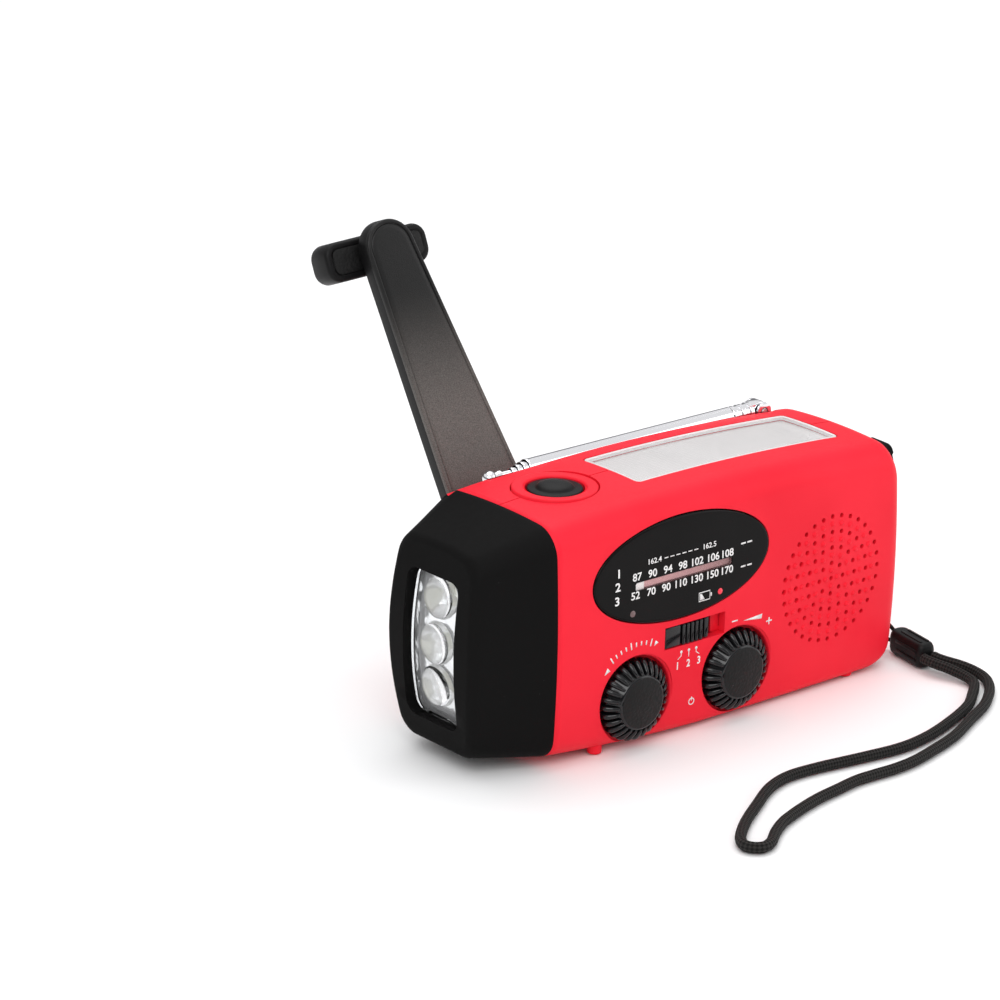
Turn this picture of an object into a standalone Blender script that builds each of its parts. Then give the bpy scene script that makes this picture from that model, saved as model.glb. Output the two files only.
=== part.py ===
"""Hand crank weather radio: a table radio with a folding crank on its back, a torch at one
end, a telescopic antenna, a solar cell, and a wrist strap.

The radio stands on its feet at z = 0. X runs along its length, from the torch at -X to the
strap at +X. The control face looks towards -Y, and the crank is on the +Y side. Every size
is in metres. Each piece is made where it stands, and a moving piece then gets its origin on
its joint's axis. The last step moves the whole radio so that its box is centred.
"""

import math

import bmesh
import bpy
from mathutils import Matrix, Vector

# Fits and cuts
GAP = 0.0003            # between two pieces that touch on the real radio
SLIDE_GAP = 0.0004      # between a piece that moves and what it moves in
OVERRUN = 0.004         # how far a cutter runs past the wall that it cuts
WELD = 0.000001         # points closer than this are one point

# Case: overall shape
CASE_LENGTH = 0.1284            # from the torch end's edge to the strap end
TORCH_END_X = -0.0640           # the edge of the torch end, from which the length is set out
SEAM_TO_TORCH = 0.0178          # length of the torch bezel
SEAM_X = TORCH_END_X + SEAM_TO_TORCH
STRAP_END_X = TORCH_END_X + CASE_LENGTH
HALF_DEPTH = 0.0223             # half the case's depth at its middle
SIDE_BOW = 0.0005               # how much narrower the case is at the ends of the bow
FACE_BOW = 0.0012               # how much the front and the back swell between top and bottom
TOP_HEIGHT = 0.0612             # highest point of the top
TOP_ARCH = 0.0016               # fall of the top towards the torch seam
CROWN = 0.0012                  # fall of the top from its middle to its front and back edges
FOOT_HEIGHT = 0.0007            # the feet lift the flat of the bottom by this much
BOTTOM_RISE = 0.00186           # rise of the bottom at the torch seam
TOP_RADIUS = 0.0060
BOTTOM_RADIUS = 0.0025
BOTTOM_RADIUS_SEAM = 0.0055
WALL = 0.0020

# Strap end
END_TOP_RADIUS = 0.0067
END_BOTTOM_RADIUS = 0.0090
END_SIDE_RADIUS = 0.0045

# Torch bezel
BEZEL_TOP = TOP_HEIGHT - 0.0073
BEZEL_HALF_TOP = 0.0136
BEZEL_HALF_BOTTOM = 0.0124
BEZEL_BOW = 0.0026
BEZEL_RADIUS = 0.0040
BEZEL_EDGE = 0.0018
BEZEL_BULGE = 0.0016            # how far the middle of the torch end stands out
BEZEL_WALL = 0.0015
BEZEL_COLLAR = 0.0040           # length of the collar that plugs into the shells
BEZEL_END_WALL = 0.0055

# Torch
WINDOW_HALF = 0.0092
WINDOW_LOW = 0.0105
WINDOW_HIGH = 0.0467
WINDOW_RADIUS = 0.0030
LAMP_HEIGHTS = (0.0194, 0.0298, 0.0407)
LENS_THICKNESS = 0.0022
LENS_DEPTH = 0.0017             # the lens lies this far behind the edge of the torch end
LENS_SWELL = 0.0009
BULL_EYE_RADIUS = 0.0047
BULL_EYE_RISE = 0.0011
REFLECTOR_DEPTH = 0.0080
DISH_RADIUS = 0.0050
DISH_SHARES = ((1.0, 0.0), (0.9, 0.36), (0.72, 0.72))    # of its radius, of the depth
DISH_END_SHARE = 0.9
LED_RADIUS = 0.0024
LED_LENGTH = 0.0060
BOARD_THICKNESS = 0.0016

# Control face: places are x along the case and z above the table
DIAL_X, DIAL_Z = -0.00865, 0.04265
DIAL_HALF_LENGTH = 0.0271
DIAL_HALF_HEIGHT = 0.0125
DIAL_RIM_RISE = 0.0003
DIAL_THICKNESS = 0.0012
SLOT_LEFT, SLOT_RIGHT = -0.0233, 0.0067
SLOT_Z = 0.0408
SLOT_HEIGHT = 0.0020
POINTER_WIDTH = 0.0026
POINTER_TRAVEL = 0.0250
KNOB_Z = 0.01245
TUNING_X = -0.0219
VOLUME_X = 0.00975
RECESS_RADIUS = 0.0107
RECESS_DEPTH = 0.0031
RECESS_FLOOR = 0.0015
KNOB_RADIUS = 0.0101
KNOB_CAP_RADIUS = 0.0058
KNOB_PROUD = 0.0020             # how far the cap stands out of the face
KNOB_SHARES = ((0.00, 1.00, 1.0), (0.45, 0.97, 1.0), (0.85, 0.74, 0.6), (1.00, 0.575, 0.0))
KNOB_FLUTES = 28
FLUTE_DEPTH = 0.0008
SHAFT_RADIUS = 0.0030
SWITCH_LEFT, SWITCH_RIGHT = -0.0137, 0.0051
SWITCH_LOW, SWITCH_HIGH = 0.0229, 0.0284
SLIDER_LENGTH = 0.0138
SLIDER_RIBS = 6
GRILLE_X, GRILLE_Z = STRAP_END_X - 0.0247, 0.0287
GRILLE_PITCH = 0.0039
GRILLE_HOLE = 0.0006
GRILLE_RINGS = (1, 8, 16, 24, 32)   # holes in each ring, from the middle outwards

# Top
SOLAR_LEFT, SOLAR_RIGHT = -0.0124, STRAP_END_X - 0.0125
SOLAR_HALF = 0.0099
SOLAR_RADIUS = 0.0012
SOLAR_THICKNESS = 0.0010
BUTTON_X, BUTTON_Y = -0.0293, 0.0
BUTTON_RING_RADIUS = 0.0102
BUTTON_FLANGE_RADIUS = 0.0066
BUTTON_DOME_RADIUS = 0.0046
BUTTON_PROUD = 0.0012
BUTTON_TRAVEL = 0.0015

# Antenna
ROD_Y, ROD_Z = HALF_DEPTH - 0.0048, TOP_HEIGHT - 0.0025
PIVOT_X = STRAP_END_X - 0.0137
ROD_RADII = (0.0024, 0.0020, 0.0016, 0.0012, 0.0008)
ROD_WALL = 0.0002
ROD_LEFT = -0.0236              # where the outer tube ends
TIP_X = -0.0345
TIP_RADIUS = 0.0018
INNER_STEP = 0.0006             # each thinner tube's inner end lies this much further in
COLLAR_STEP = 0.0015            # each thinner tube's collar stands out by this much more
GROOVE_FRONT = ROD_Y - 0.0029
GROOVE_FLOOR = ROD_Z - 0.0028
GROOVE_LEFT = -0.0370
GROOVE_RIGHT = PIVOT_X + 0.0051
NOTCH_RADIUS = 0.0022

# Crank
HUB_X, HUB_Z = -0.0232, 0.0310
HUB_RECESS_RADIUS = 0.0162
HUB_RECESS_FLOOR = HALF_DEPTH - 0.0083
HUB_RADIUS = 0.0155
HUB_THICKNESS = 0.0030
ARM_LEAN = math.radians(11)     # towards the torch end, as it stands in the photograph
ARM_TILT = math.radians(22)     # backwards, where the arm meets its stop
HINGE_FROM_HUB = 0.0103
HINGE_Y = HALF_DEPTH + 0.0001
ARM_ROOT_HALF = 0.0113
ARM_TIP_RADIUS = 0.0066
ARM_LENGTH = 0.0802
ARM_THICKNESS = 0.0044
ARM_COVER_THICKNESS = 0.0012
GRIP_FROM_HINGE = ARM_LENGTH - 0.0072
GRIP_LENGTH = 0.0290
GRIP_HEIGHT = 0.0096
GRIP_THICKNESS = 0.0076
GRIP_END_RADIUS = 0.0035
GRIP_TURN = math.radians(-4.5)
GRIP_CLEARANCE = 0.00125
BARREL_RADIUS = 0.0024
LUG_HALF = 0.0048
PIN_RADIUS = 0.0010
CHANNEL_FLOOR = HALF_DEPTH - 0.0048
CHANNEL_RIGHT = HUB_X - HINGE_FROM_HUB + ARM_LENGTH + 0.0013
CHANNEL_HALF_ROOT = 0.0122
CHANNEL_HALF_TIP = 0.0076
POCKET_X = HUB_X - HINGE_FROM_HUB + GRIP_FROM_HINGE - 0.0004
POCKET_HALF_LENGTH = 0.0155
POCKET_HALF_WIDTH = 0.00575
POCKET_FLOOR = HALF_DEPTH - 0.0137

# Gear train: module and teeth give every radius
CRANK_MODULE = 0.0007
ROTOR_MODULE = 0.0006
CRANK_TEETH = 40
IDLER_PINION_TEETH = 10
IDLER_TEETH = 36
ROTOR_TEETH = 10
PRESSURE_ANGLE = math.radians(20)
BACKLASH = 0.00016
GEAR_WIDTH = 0.0022
GEAR_PLATE_THICKNESS = 0.0015
CRANK_SHAFT_RADIUS = 0.0025
MAGNET_RADIUS = 0.0070
MAGNET_LENGTH = 0.0080
STATOR_RADIUS = 0.0110

FACE_AXES = Matrix(((1, 0, 0, 0), (0, 0, -1, 0), (0, 1, 0, 0), (0, 0, 0, 1)))
END_AXES = Matrix(((0, 0, 1, 0), (1, 0, 0, 0), (0, 1, 0, 0), (0, 0, 0, 1)))
TOP_AXES = Matrix.Identity(4)

for leftover in list(bpy.data.objects):
    bpy.data.objects.remove(leftover)

RADIO = bpy.data.collections.new("hand_crank_weather_radio")
bpy.context.scene.collection.children.link(RADIO)


# Materials

def finish(name, colour, roughness, metallic=0.0):
    """A Principled material of one plain finish."""
    material = bpy.data.materials.new(name)
    material.use_nodes = True
    shader = material.node_tree.nodes["Principled BSDF"]
    shader.inputs["Base Color"].default_value = (*colour, 1.0)
    shader.inputs["Roughness"].default_value = roughness
    shader.inputs["Metallic"].default_value = metallic
    return material


RED_PLASTIC = finish("red_plastic", (0.78, 0.035, 0.06), 0.45)
BLACK_RUBBER = finish("black_rubber", (0.014, 0.014, 0.015), 0.62)
BLACK_GLOSS = finish("black_gloss", (0.008, 0.008, 0.009), 0.14)
BLACK_SATIN = finish("black_satin", (0.012, 0.012, 0.013), 0.40)
CLEAR_PLASTIC = finish("clear_plastic", (0.86, 0.88, 0.89), 0.08)
CHROME = finish("chrome", (0.80, 0.80, 0.81), 0.10, 1.0)
STEEL = finish("steel", (0.48, 0.48, 0.50), 0.35, 1.0)
COPPER = finish("copper", (0.60, 0.26, 0.12), 0.35, 1.0)
CELL = finish("solar_cell", (0.42, 0.41, 0.42), 0.30)
BOARD = finish("circuit_board", (0.02, 0.16, 0.06), 0.50)
CREAM_PLASTIC = finish("cream_plastic", (0.74, 0.72, 0.66), 0.45)
FERRITE = finish("ferrite", (0.03, 0.03, 0.03), 0.60)
GREEN_SLEEVE = finish("battery_sleeve", (0.05, 0.30, 0.16), 0.40)
PAPER_CONE = finish("paper_cone", (0.03, 0.03, 0.032), 0.80)
BRAID = finish("black_braid", (0.012, 0.012, 0.013), 0.85)


# Shapes

def new_object(name, mesh, frame=TOP_AXES):
    """An object of this mesh, placed by its frame."""
    piece = bpy.data.objects.new(name, mesh)
    RADIO.objects.link(piece)
    piece.matrix_basis = frame
    return piece


def from_bmesh(name, shape, frame=TOP_AXES):
    mesh = bpy.data.meshes.new(name)
    shape.to_mesh(mesh)
    shape.free()
    return new_object(name, mesh, frame)


def settle(piece):
    """Replace a piece's curve or live modifiers with the closed mesh that they make."""
    bpy.context.view_layer.update()
    graph = bpy.context.evaluated_depsgraph_get()
    mesh = bpy.data.meshes.new_from_object(piece.evaluated_get(graph))
    shape = bmesh.new()
    shape.from_mesh(mesh)
    bmesh.ops.remove_doubles(shape, verts=shape.verts, dist=WELD)
    bmesh.ops.recalc_face_normals(shape, faces=shape.faces)
    settled = from_bmesh(piece.name, shape, piece.matrix_basis.copy())
    name = piece.name
    bpy.data.meshes.remove(mesh)
    bpy.data.objects.remove(piece)
    settled.name = name
    return settled


def combine(target, tool, operation):
    """Cut, join or keep the target with the tool, which is then done with."""
    step = target.modifiers.new(operation.lower(), 'BOOLEAN')
    step.operation = operation
    step.solver = 'EXACT'
    step.object = tool
    bpy.context.view_layer.update()
    graph = bpy.context.evaluated_depsgraph_get()
    mesh = bpy.data.meshes.new_from_object(target.evaluated_get(graph))
    target.modifiers.clear()
    target.data = mesh
    bpy.data.objects.remove(tool)
    return target


def cut(target, *tools):
    for tool in tools:
        combine(target, tool, 'DIFFERENCE')
    return target


def join(target, *tools):
    for tool in tools:
        combine(target, tool, 'UNION')
    return target


def keep(target, tool):
    return combine(target, tool, 'INTERSECT')


def box(name, low, high, frame=TOP_AXES, edge=0.0):
    """A block between two corners, its edges rounded where an edge radius is given."""
    shape = bmesh.new()
    bmesh.ops.create_cube(shape, size=1)
    size = Vector(high) - Vector(low)
    middle = (Vector(high) + Vector(low)) / 2
    bmesh.ops.transform(shape, matrix=Matrix.Translation(middle) @ Matrix.Diagonal((*size, 1)),
                        verts=shape.verts)
    if edge:
        bmesh.ops.bevel(shape, geom=shape.edges[:], offset=edge, segments=2, affect='EDGES',
                        profile=0.5)
    return from_bmesh(name, shape, frame)


def rod(name, start, end, radius, segments=16, end_radius=None):
    """A cylinder between two points, or a cone where its end has another radius."""
    start, end = Vector(start), Vector(end)
    along = end - start
    shape = bmesh.new()
    bmesh.ops.create_cone(shape, cap_ends=True, segments=segments, radius1=radius,
                          radius2=radius if end_radius is None else end_radius,
                          depth=along.length)
    turn = along.to_track_quat('Z', 'Y').to_matrix().to_4x4()
    bmesh.ops.transform(shape, matrix=Matrix.Translation((start + end) / 2) @ turn,
                        verts=shape.verts)
    return from_bmesh(name, shape)


def turned(name, profile, point, direction, steps=24):
    """A turned piece. Its profile is radius and height along the direction, from the top
    down the outer side; a ring's profile ends where it starts."""
    mesh = bpy.data.meshes.new(name)
    closed = profile[0] == profile[-1]
    points = profile[:-1] if closed else profile
    edges = [(i, i + 1) for i in range(len(points) - 1)]
    if closed:
        edges.append((len(points) - 1, 0))
    mesh.from_pydata([(radius, 0, height) for radius, height in points], edges, [])
    turn = Vector(direction).to_track_quat('Z', 'Y').to_matrix().to_4x4()
    piece = new_object(name, mesh, Matrix.Translation(point) @ turn)
    screw = piece.modifiers.new("turn", 'SCREW')
    screw.steps = screw.render_steps = steps
    screw.use_merge_vertices = True
    screw.merge_threshold = WELD
    return settle(piece)


def slab(name, outlines, axis, low, high):
    """A flat outline, with any holes, between two places along X, Y or Z. The outlines hold
    (y, z), (x, z) or (x, y)."""
    frame = {'X': END_AXES, 'Y': FACE_AXES, 'Z': TOP_AXES}[axis]
    if axis == 'Y':
        low, high = -high, -low
    curve = bpy.data.curves.new(name, 'CURVE')
    curve.dimensions = '2D'
    curve.fill_mode = 'BOTH'
    curve.extrude = (high - low) / 2
    for outline in outlines:
        spline = curve.splines.new('POLY')
        spline.points.add(len(outline) - 1)
        for knot, (across, up) in zip(spline.points, outline):
            knot.co = (across, up, 0, 1)
        spline.use_cyclic_u = True
    middle = Matrix.Translation((0, 0, (high + low) / 2))
    return settle(new_object(name, curve, frame @ middle))


def tube(name, points, radius):
    """A round cord along a list of points."""
    curve = bpy.data.curves.new(name, 'CURVE')
    curve.dimensions = '3D'
    curve.bevel_depth = radius
    curve.bevel_resolution = 2
    curve.use_fill_caps = True
    spline = curve.splines.new('POLY')
    spline.points.add(len(points) - 1)
    for knot, point in zip(spline.points, points):
        knot.co = (*point, 1)
    return settle(new_object(name, curve))


def arc(across, up, radius, start, end, steps):
    """Points on an arc about (across, up), with its angles in degrees."""
    turns = [math.radians(start + (end - start) * k / steps) for k in range(steps + 1)]
    return [(across + radius * math.cos(a), up + radius * math.sin(a)) for a in turns]


def circle(across, up, radius, steps=24):
    return arc(across, up, radius, 0, 360, steps)[:-1]


def rounded(left, right, low, high, radius, steps=3):
    """A rectangle with round corners."""
    return (arc(right - radius, low + radius, radius, -90, 0, steps)
            + arc(right - radius, high - radius, radius, 0, 90, steps)
            + arc(left + radius, high - radius, radius, 90, 180, steps)
            + arc(left + radius, low + radius, radius, 180, 270, steps))


def oval(across, up, half_across, half_up, steps=40):
    turns = [math.tau * k / steps for k in range(steps)]
    return [(across + half_across * math.cos(a), up + half_up * math.sin(a)) for a in turns]


def dress(piece, material, sharp=35):
    """Give a finished piece its material and smooth its round faces."""
    piece.data.materials.clear()
    piece.data.materials.append(material)
    piece.data.shade_smooth()
    piece.data.set_sharp_from_angle(angle=math.radians(sharp))
    return piece


def set_axis(piece, point):
    """Move a piece's origin to a point on its joint's axis and leave its shape in place."""
    offset = piece.matrix_basis.inverted() @ Vector(point)
    piece.data.transform(Matrix.Translation(-offset))
    piece.matrix_basis = piece.matrix_basis @ Matrix.Translation(offset)
    return piece


# The case's shape: a section at each place along X, lofted

def mix(a, b, share):
    return a + (b - a) * share


def round_in(radius, to_end):
    """How far a round edge has come in, this far from the end that it closes."""
    if to_end >= radius:
        return 0.0
    return radius - math.sqrt(max(radius ** 2 - (radius - to_end) ** 2, 0.0))


def section(x, inset=0.0):
    """The sizes of the case's outline at x, inset from the surface by a wall or a gap."""
    seam_share = x / SEAM_X
    half = HALF_DEPTH - SIDE_BOW * seam_share ** 2 - FACE_BOW
    sizes = {
        "half_top": half, "half_bottom": half, "bow": FACE_BOW, "crown": CROWN,
        "top": TOP_HEIGHT - TOP_ARCH * seam_share ** 2,
        "bottom": FOOT_HEIGHT + BOTTOM_RISE * max(seam_share, 0) ** 2,
        "top_radius": TOP_RADIUS,
        "bottom_radius": mix(BOTTOM_RADIUS, BOTTOM_RADIUS_SEAM, min(max(seam_share, 0), 1)),
    }
    if x < SEAM_X:
        share = (SEAM_X - x) / SEAM_TO_TORCH
        seam_half = HALF_DEPTH - SIDE_BOW - FACE_BOW
        sizes["half_top"] = mix(seam_half, BEZEL_HALF_TOP, share)
        sizes["half_bottom"] = mix(seam_half, BEZEL_HALF_BOTTOM, share)
        sizes["bow"] = mix(FACE_BOW, BEZEL_BOW, share)
        sizes["top"] = mix(TOP_HEIGHT - TOP_ARCH, BEZEL_TOP, share)
        sizes["top_radius"] = mix(TOP_RADIUS, BEZEL_RADIUS, share)
        sizes["bottom_radius"] = mix(BOTTOM_RADIUS_SEAM, BEZEL_RADIUS, share)
        drops = [round_in(BEZEL_EDGE, x - TORCH_END_X)] * 3
    else:
        to_end = STRAP_END_X - inset - x
        drops = (round_in(END_TOP_RADIUS - inset, to_end),
                 round_in(END_BOTTOM_RADIUS - inset, to_end),
                 round_in(END_SIDE_RADIUS - inset, to_end))
    least = BEZEL_EDGE / 3
    sizes["top"] -= inset + drops[0]
    sizes["bottom"] += inset + drops[1]
    sizes["half_top"] -= inset + drops[2]
    sizes["half_bottom"] -= inset + drops[2]
    sizes["top_radius"] = max(sizes["top_radius"] - inset, least)
    sizes["bottom_radius"] = max(sizes["bottom_radius"] - inset, least)
    return sizes


def half_outline(sizes, corner_steps, side_steps, top_steps):
    """The (y, z) points of one side of a section, from its bottom to the middle of its top."""
    top, bottom = sizes["top"], sizes["bottom"]
    middle, half_height = (top + bottom) / 2, (top - bottom) / 2

    def half_at(z):
        share = (z - middle) / half_height
        straight = mix(sizes["half_bottom"], sizes["half_top"], (share + 1) / 2)
        return straight + sizes["bow"] * (1 - share ** 2)

    points = []
    low, high = sizes["bottom_radius"], sizes["top_radius"]
    for k in range(corner_steps + 1):
        turn = math.pi / 2 * k / corner_steps
        z = bottom + low * (1 - math.sin(turn))
        points.append((half_at(z) - low * (1 - math.cos(turn)), z))
    points.reverse()
    for k in range(1, side_steps):
        z = mix(bottom + low, top - high, k / side_steps)
        points.append((half_at(z), z))
    for k in range(corner_steps + 1):
        turn = math.pi / 2 * k / corner_steps
        z = top - high * (1 - math.sin(turn))
        points.append((half_at(z) - high * (1 - math.cos(turn)), z))
    flat = points[-1][0]
    for k in range(1, top_steps + 1):
        points.append((flat * (1 - k / top_steps), top))
    widest = half_at(top)
    return [(y, z - sizes["crown"] * (y / widest) ** 2 if z > middle else z) for y, z in points]


def loft(name, stations, inset=0.0, corner_steps=4, side_steps=5, top_steps=3):
    """Skin the case's sections. A station is x for the section, and x where it stands."""
    shape = bmesh.new()
    rings = []
    for x, place in stations:
        sizes = section(x, inset)
        side = half_outline(sizes, corner_steps, side_steps, top_steps)
        middle = (sizes["top"] + sizes["bottom"]) / 2
        reach = (sizes["top"] - sizes["bottom"]) / 2

        def stand(z):
            to_end = max(place - TORCH_END_X, 0)
            weight = max(1 - to_end / (SEAM_TO_TORCH / 2), 0) ** 2
            return place - BEZEL_BULGE * weight * (1 - ((z - middle) / reach) ** 2)

        right = [shape.verts.new((stand(z), y, z)) for y, z in side]
        left = [shape.verts.new((stand(z), -y, z)) for y, z in side[:-1]]
        rings.append((right, left + [right[-1]]))
    for (right_a, left_a), (right_b, left_b) in zip(rings, rings[1:]):
        for k in range(len(right_a) - 1):
            shape.faces.new((right_a[k], right_b[k], right_b[k + 1], right_a[k + 1]))
            shape.faces.new((left_a[k], left_a[k + 1], left_b[k + 1], left_b[k]))
        shape.faces.new((right_a[0], left_a[0], left_b[0], right_b[0]))
    for right, left in (rings[0], rings[-1]):
        for k in range(len(right) - 2):
            shape.faces.new((right[k], right[k + 1], left[k + 1], left[k]))
        shape.faces.new((right[-2], right[-1], left[-2]))
    bmesh.ops.recalc_face_normals(shape, faces=shape.faces)
    return from_bmesh(name, shape)


def case_stations(inset=0.0, start=None, spans=7, end_steps=5):
    """Places along the shells: even spans, then closer ones round the strap end."""
    end = STRAP_END_X - inset
    bend = END_BOTTOM_RADIUS - inset
    start = SEAM_X if start is None else start
    places = [(SEAM_X, start)] if start < SEAM_X else []
    for k in range(spans):
        x = mix(SEAM_X, end - bend, k / spans)
        places.append((x, x))
    for k in range(end_steps + 1):
        x = end - bend * (1 - math.sin(math.pi / 2 * k / end_steps))
        places.append((x, x))
    return places


def bezel_stations():
    """Places along the torch bezel, from its rounded edge to the seam."""
    places = []
    for k in range(3, -1, -1):
        x = TORCH_END_X + BEZEL_EDGE * (1 - math.sin(math.pi / 2 * k / 3))
        places.append((x, x))
    for k in range(1, 5):
        x = mix(TORCH_END_X + BEZEL_EDGE, SEAM_X, k / 4)
        places.append((min(x, SEAM_X - WELD), x))
    return places


def face_y(x, z, inset=0.0):
    """Where the control face, or a surface inset from it, lies at x and z."""
    sizes = section(x, inset)
    share = (2 * z - sizes["top"] - sizes["bottom"]) / (sizes["top"] - sizes["bottom"])
    return -(sizes["half_top"] + sizes["bow"] * (1 - share ** 2))


def top_z(x, inset=0.0):
    """Where the middle of the top, or a surface inset from it, lies at x."""
    return section(x, inset)["top"]


def skin(name, outline, axis, low, high, outer, inner):
    """The piece of the case's surface inside an outline, between two insets."""
    piece = slab(name, [outline], axis, low, high)
    keep(piece, loft("outer_surface", case_stations(outer), outer))
    return cut(piece, loft("inner_surface", case_stations(inner, SEAM_X - OVERRUN), inner))


# Case: two shells that meet at y = 0, with the walls that stand inside them

SCREW_LEFT, SCREW_RIGHT = -0.0370, STRAP_END_X - 0.0104
SCREW_LOW, SCREW_HIGH = 0.0100, TOP_HEIGHT - 0.0112
SCREW_PLACES = ((SCREW_LEFT, SCREW_LOW), (SCREW_LEFT, SCREW_HIGH), (SCREW_RIGHT, SCREW_LOW),
                (SCREW_RIGHT, SCREW_HIGH))
SCREW_RADIUS = 0.0011
SCREW_HEAD_RADIUS = 0.0024
SCREW_HEAD_HEIGHT = 0.0020
SCREW_DEPTH = 0.0110            # how far a screw reaches into the front shell
SCREW_SEAT_Y = HALF_DEPTH - 0.0048
BOSS_RADIUS = 0.0032
REAR_BOSS_RADIUS = 0.0040
FOOT_X = (-0.0305, STRAP_END_X - 0.0144)
FOOT_Y = HALF_DEPTH - 0.0043
FOOT_RADIUS = 0.0020
BRACKET_LEFT, BRACKET_RIGHT = PIVOT_X - 0.0042, PIVOT_X + 0.0043
BRACKET_BASE = ROD_Z - 0.0048
SOCKET_FRONT, SOCKET_BACK = -0.0136, -0.0079
SOCKET_LOW, SOCKET_HIGH = 0.0333, 0.0463
SOCKET_LENGTH = 0.0101
SOCKET_WALL = 0.00045
TONGUE_SHARE = 0.35
JACK_Z = 0.0288
JACK_RADIUS = 0.0029
JACK_BORE = 0.0018
JACK_PIN = 0.00058
LUG_X, LUG_Y, LUG_Z = STRAP_END_X + 0.0002, -0.0065, 0.0070
LUG_RADIUS = 0.0026
LUG_THICKNESS = 0.0008

RECESS_FLOOR_Y = -HALF_DEPTH + RECESS_DEPTH
WINDOW_CLEARANCE = GAP
ROOF = TOP_HEIGHT + OVERRUN
BEYOND = HALF_DEPTH + OVERRUN
UNDER_ROOF = TOP_HEIGHT - WALL - 0.0060     # cuts through the top end here
BEHIND_FACE = -HALF_DEPTH + WALL + 0.0043   # cuts through the control face end here
FOOT_BURY_SHARE = 0.8


def across_y(name, x, z, start, end, radius, segments=16):
    """A round bar or hole through the depth of the case."""
    return rod(name, (x, start, z), (x, end, z), radius, segments)


def half_case(name, side):
    """The outer form of the front shell (side -1) or the rear shell (side 1)."""
    near, far = GAP / 2, BEYOND
    low, high = sorted((side * near, side * far))
    form = loft("case_form", case_stations())
    form.name = name
    return keep(form, box("half", (SEAM_X - OVERRUN, low, -OVERRUN),
                          (STRAP_END_X + OVERRUN, high, ROOF)))


def cavity():
    return loft("cavity", case_stations(WALL, SEAM_X - OVERRUN), WALL, 3, 4, 2)


def feet(shell, side):
    for x in FOOT_X:
        bury = section(x)["bottom"] + WALL * FOOT_BURY_SHARE
        join(shell, rod("foot", (x, side * FOOT_Y, 0), (x, side * FOOT_Y, bury), FOOT_RADIUS))
    return shell


def solar_opening():
    outline = rounded(SOLAR_LEFT - GAP, SOLAR_RIGHT + GAP, -SOLAR_HALF - GAP, SOLAR_HALF + GAP,
                      SOLAR_RADIUS)
    return slab("solar_opening", [outline], 'Z', UNDER_ROOF, ROOF)


def button_opening():
    radius = BUTTON_RING_RADIUS + GAP
    return rod("button_opening", (BUTTON_X, BUTTON_Y, TOP_HEIGHT - WALL * 3),
               (BUTTON_X, BUTTON_Y, ROOF), radius, 32)


def grille_holes():
    """One cutter with every hole of the grille's rings."""
    shape = bmesh.new()
    low, high = -BEYOND, -HALF_DEPTH + WALL + OVERRUN / 2
    turn = Matrix.Rotation(math.pi / 2, 4, 'X')
    for ring, count in enumerate(GRILLE_RINGS):
        for k in range(count):
            angle = math.tau * k / count
            x = GRILLE_X + ring * GRILLE_PITCH * math.cos(angle)
            z = GRILLE_Z + ring * GRILLE_PITCH * math.sin(angle)
            place = Matrix.Translation((x, (low + high) / 2, z)) @ turn
            bmesh.ops.create_cone(shape, cap_ends=True, segments=4, radius1=GRILLE_HOLE,
                                  radius2=GRILLE_HOLE, depth=high - low, matrix=place)
    return from_bmesh("grille_holes", shape)


def make_front_shell():
    hollow = cavity()
    wall_radius = RECESS_RADIUS + RECESS_FLOOR
    for x in (TUNING_X, VOLUME_X):
        cut(hollow, across_y("recess_wall", x, KNOB_Z, -BEYOND, RECESS_FLOOR_Y + RECESS_FLOOR,
                             wall_radius, 24))
    for x, z in SCREW_PLACES:
        cut(hollow, across_y("boss", x, z, -BEYOND, 0, BOSS_RADIUS))
    shell = cut(half_case("front_shell", -1), hollow)
    for x in (TUNING_X, VOLUME_X):
        cut(shell, across_y("recess", x, KNOB_Z, -BEYOND, RECESS_FLOOR_Y, RECESS_RADIUS, 32))
        cut(shell, across_y("shaft_hole", x, KNOB_Z, -BEYOND, 0, SHAFT_RADIUS + GAP))
    for x, z in SCREW_PLACES:
        cut(shell, across_y("screw_hole", x, z, -SCREW_DEPTH, OVERRUN, SCREW_RADIUS + GAP, 8))
    cut(shell, slab("dial_opening", [oval(DIAL_X, DIAL_Z, DIAL_HALF_LENGTH + GAP,
                                          DIAL_HALF_HEIGHT + GAP)], 'Y', -BEYOND, BEHIND_FACE))
    cut(shell, box("switch_slot", (SWITCH_LEFT, -BEYOND, SWITCH_LOW),
                   (SWITCH_RIGHT, BEHIND_FACE, SWITCH_HIGH)))
    cut(shell, grille_holes(), solar_opening(), button_opening())
    cut(shell, box("socket_opening", (STRAP_END_X - WALL * 2, SOCKET_FRONT - GAP, SOCKET_LOW - GAP),
                   (STRAP_END_X + OVERRUN, SOCKET_BACK + GAP, SOCKET_HIGH + GAP)))
    middle = (SOCKET_FRONT + SOCKET_BACK) / 2
    cut(shell, rod("jack_opening", (STRAP_END_X - WALL * 2, middle, JACK_Z),
                   (STRAP_END_X + OVERRUN, middle, JACK_Z), JACK_RADIUS + GAP))
    ring = [(LUG_RADIUS + LUG_THICKNESS * math.cos(a), LUG_THICKNESS * math.sin(a))
            for a in (-math.tau * k / 8 for k in range(9))]
    ring[-1] = ring[0]
    join(shell, turned("strap_lug", ring, (LUG_X, LUG_Y, LUG_Z), (0, 0, 1), 20))
    return dress(feet(shell, -1), RED_PLASTIC)


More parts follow.
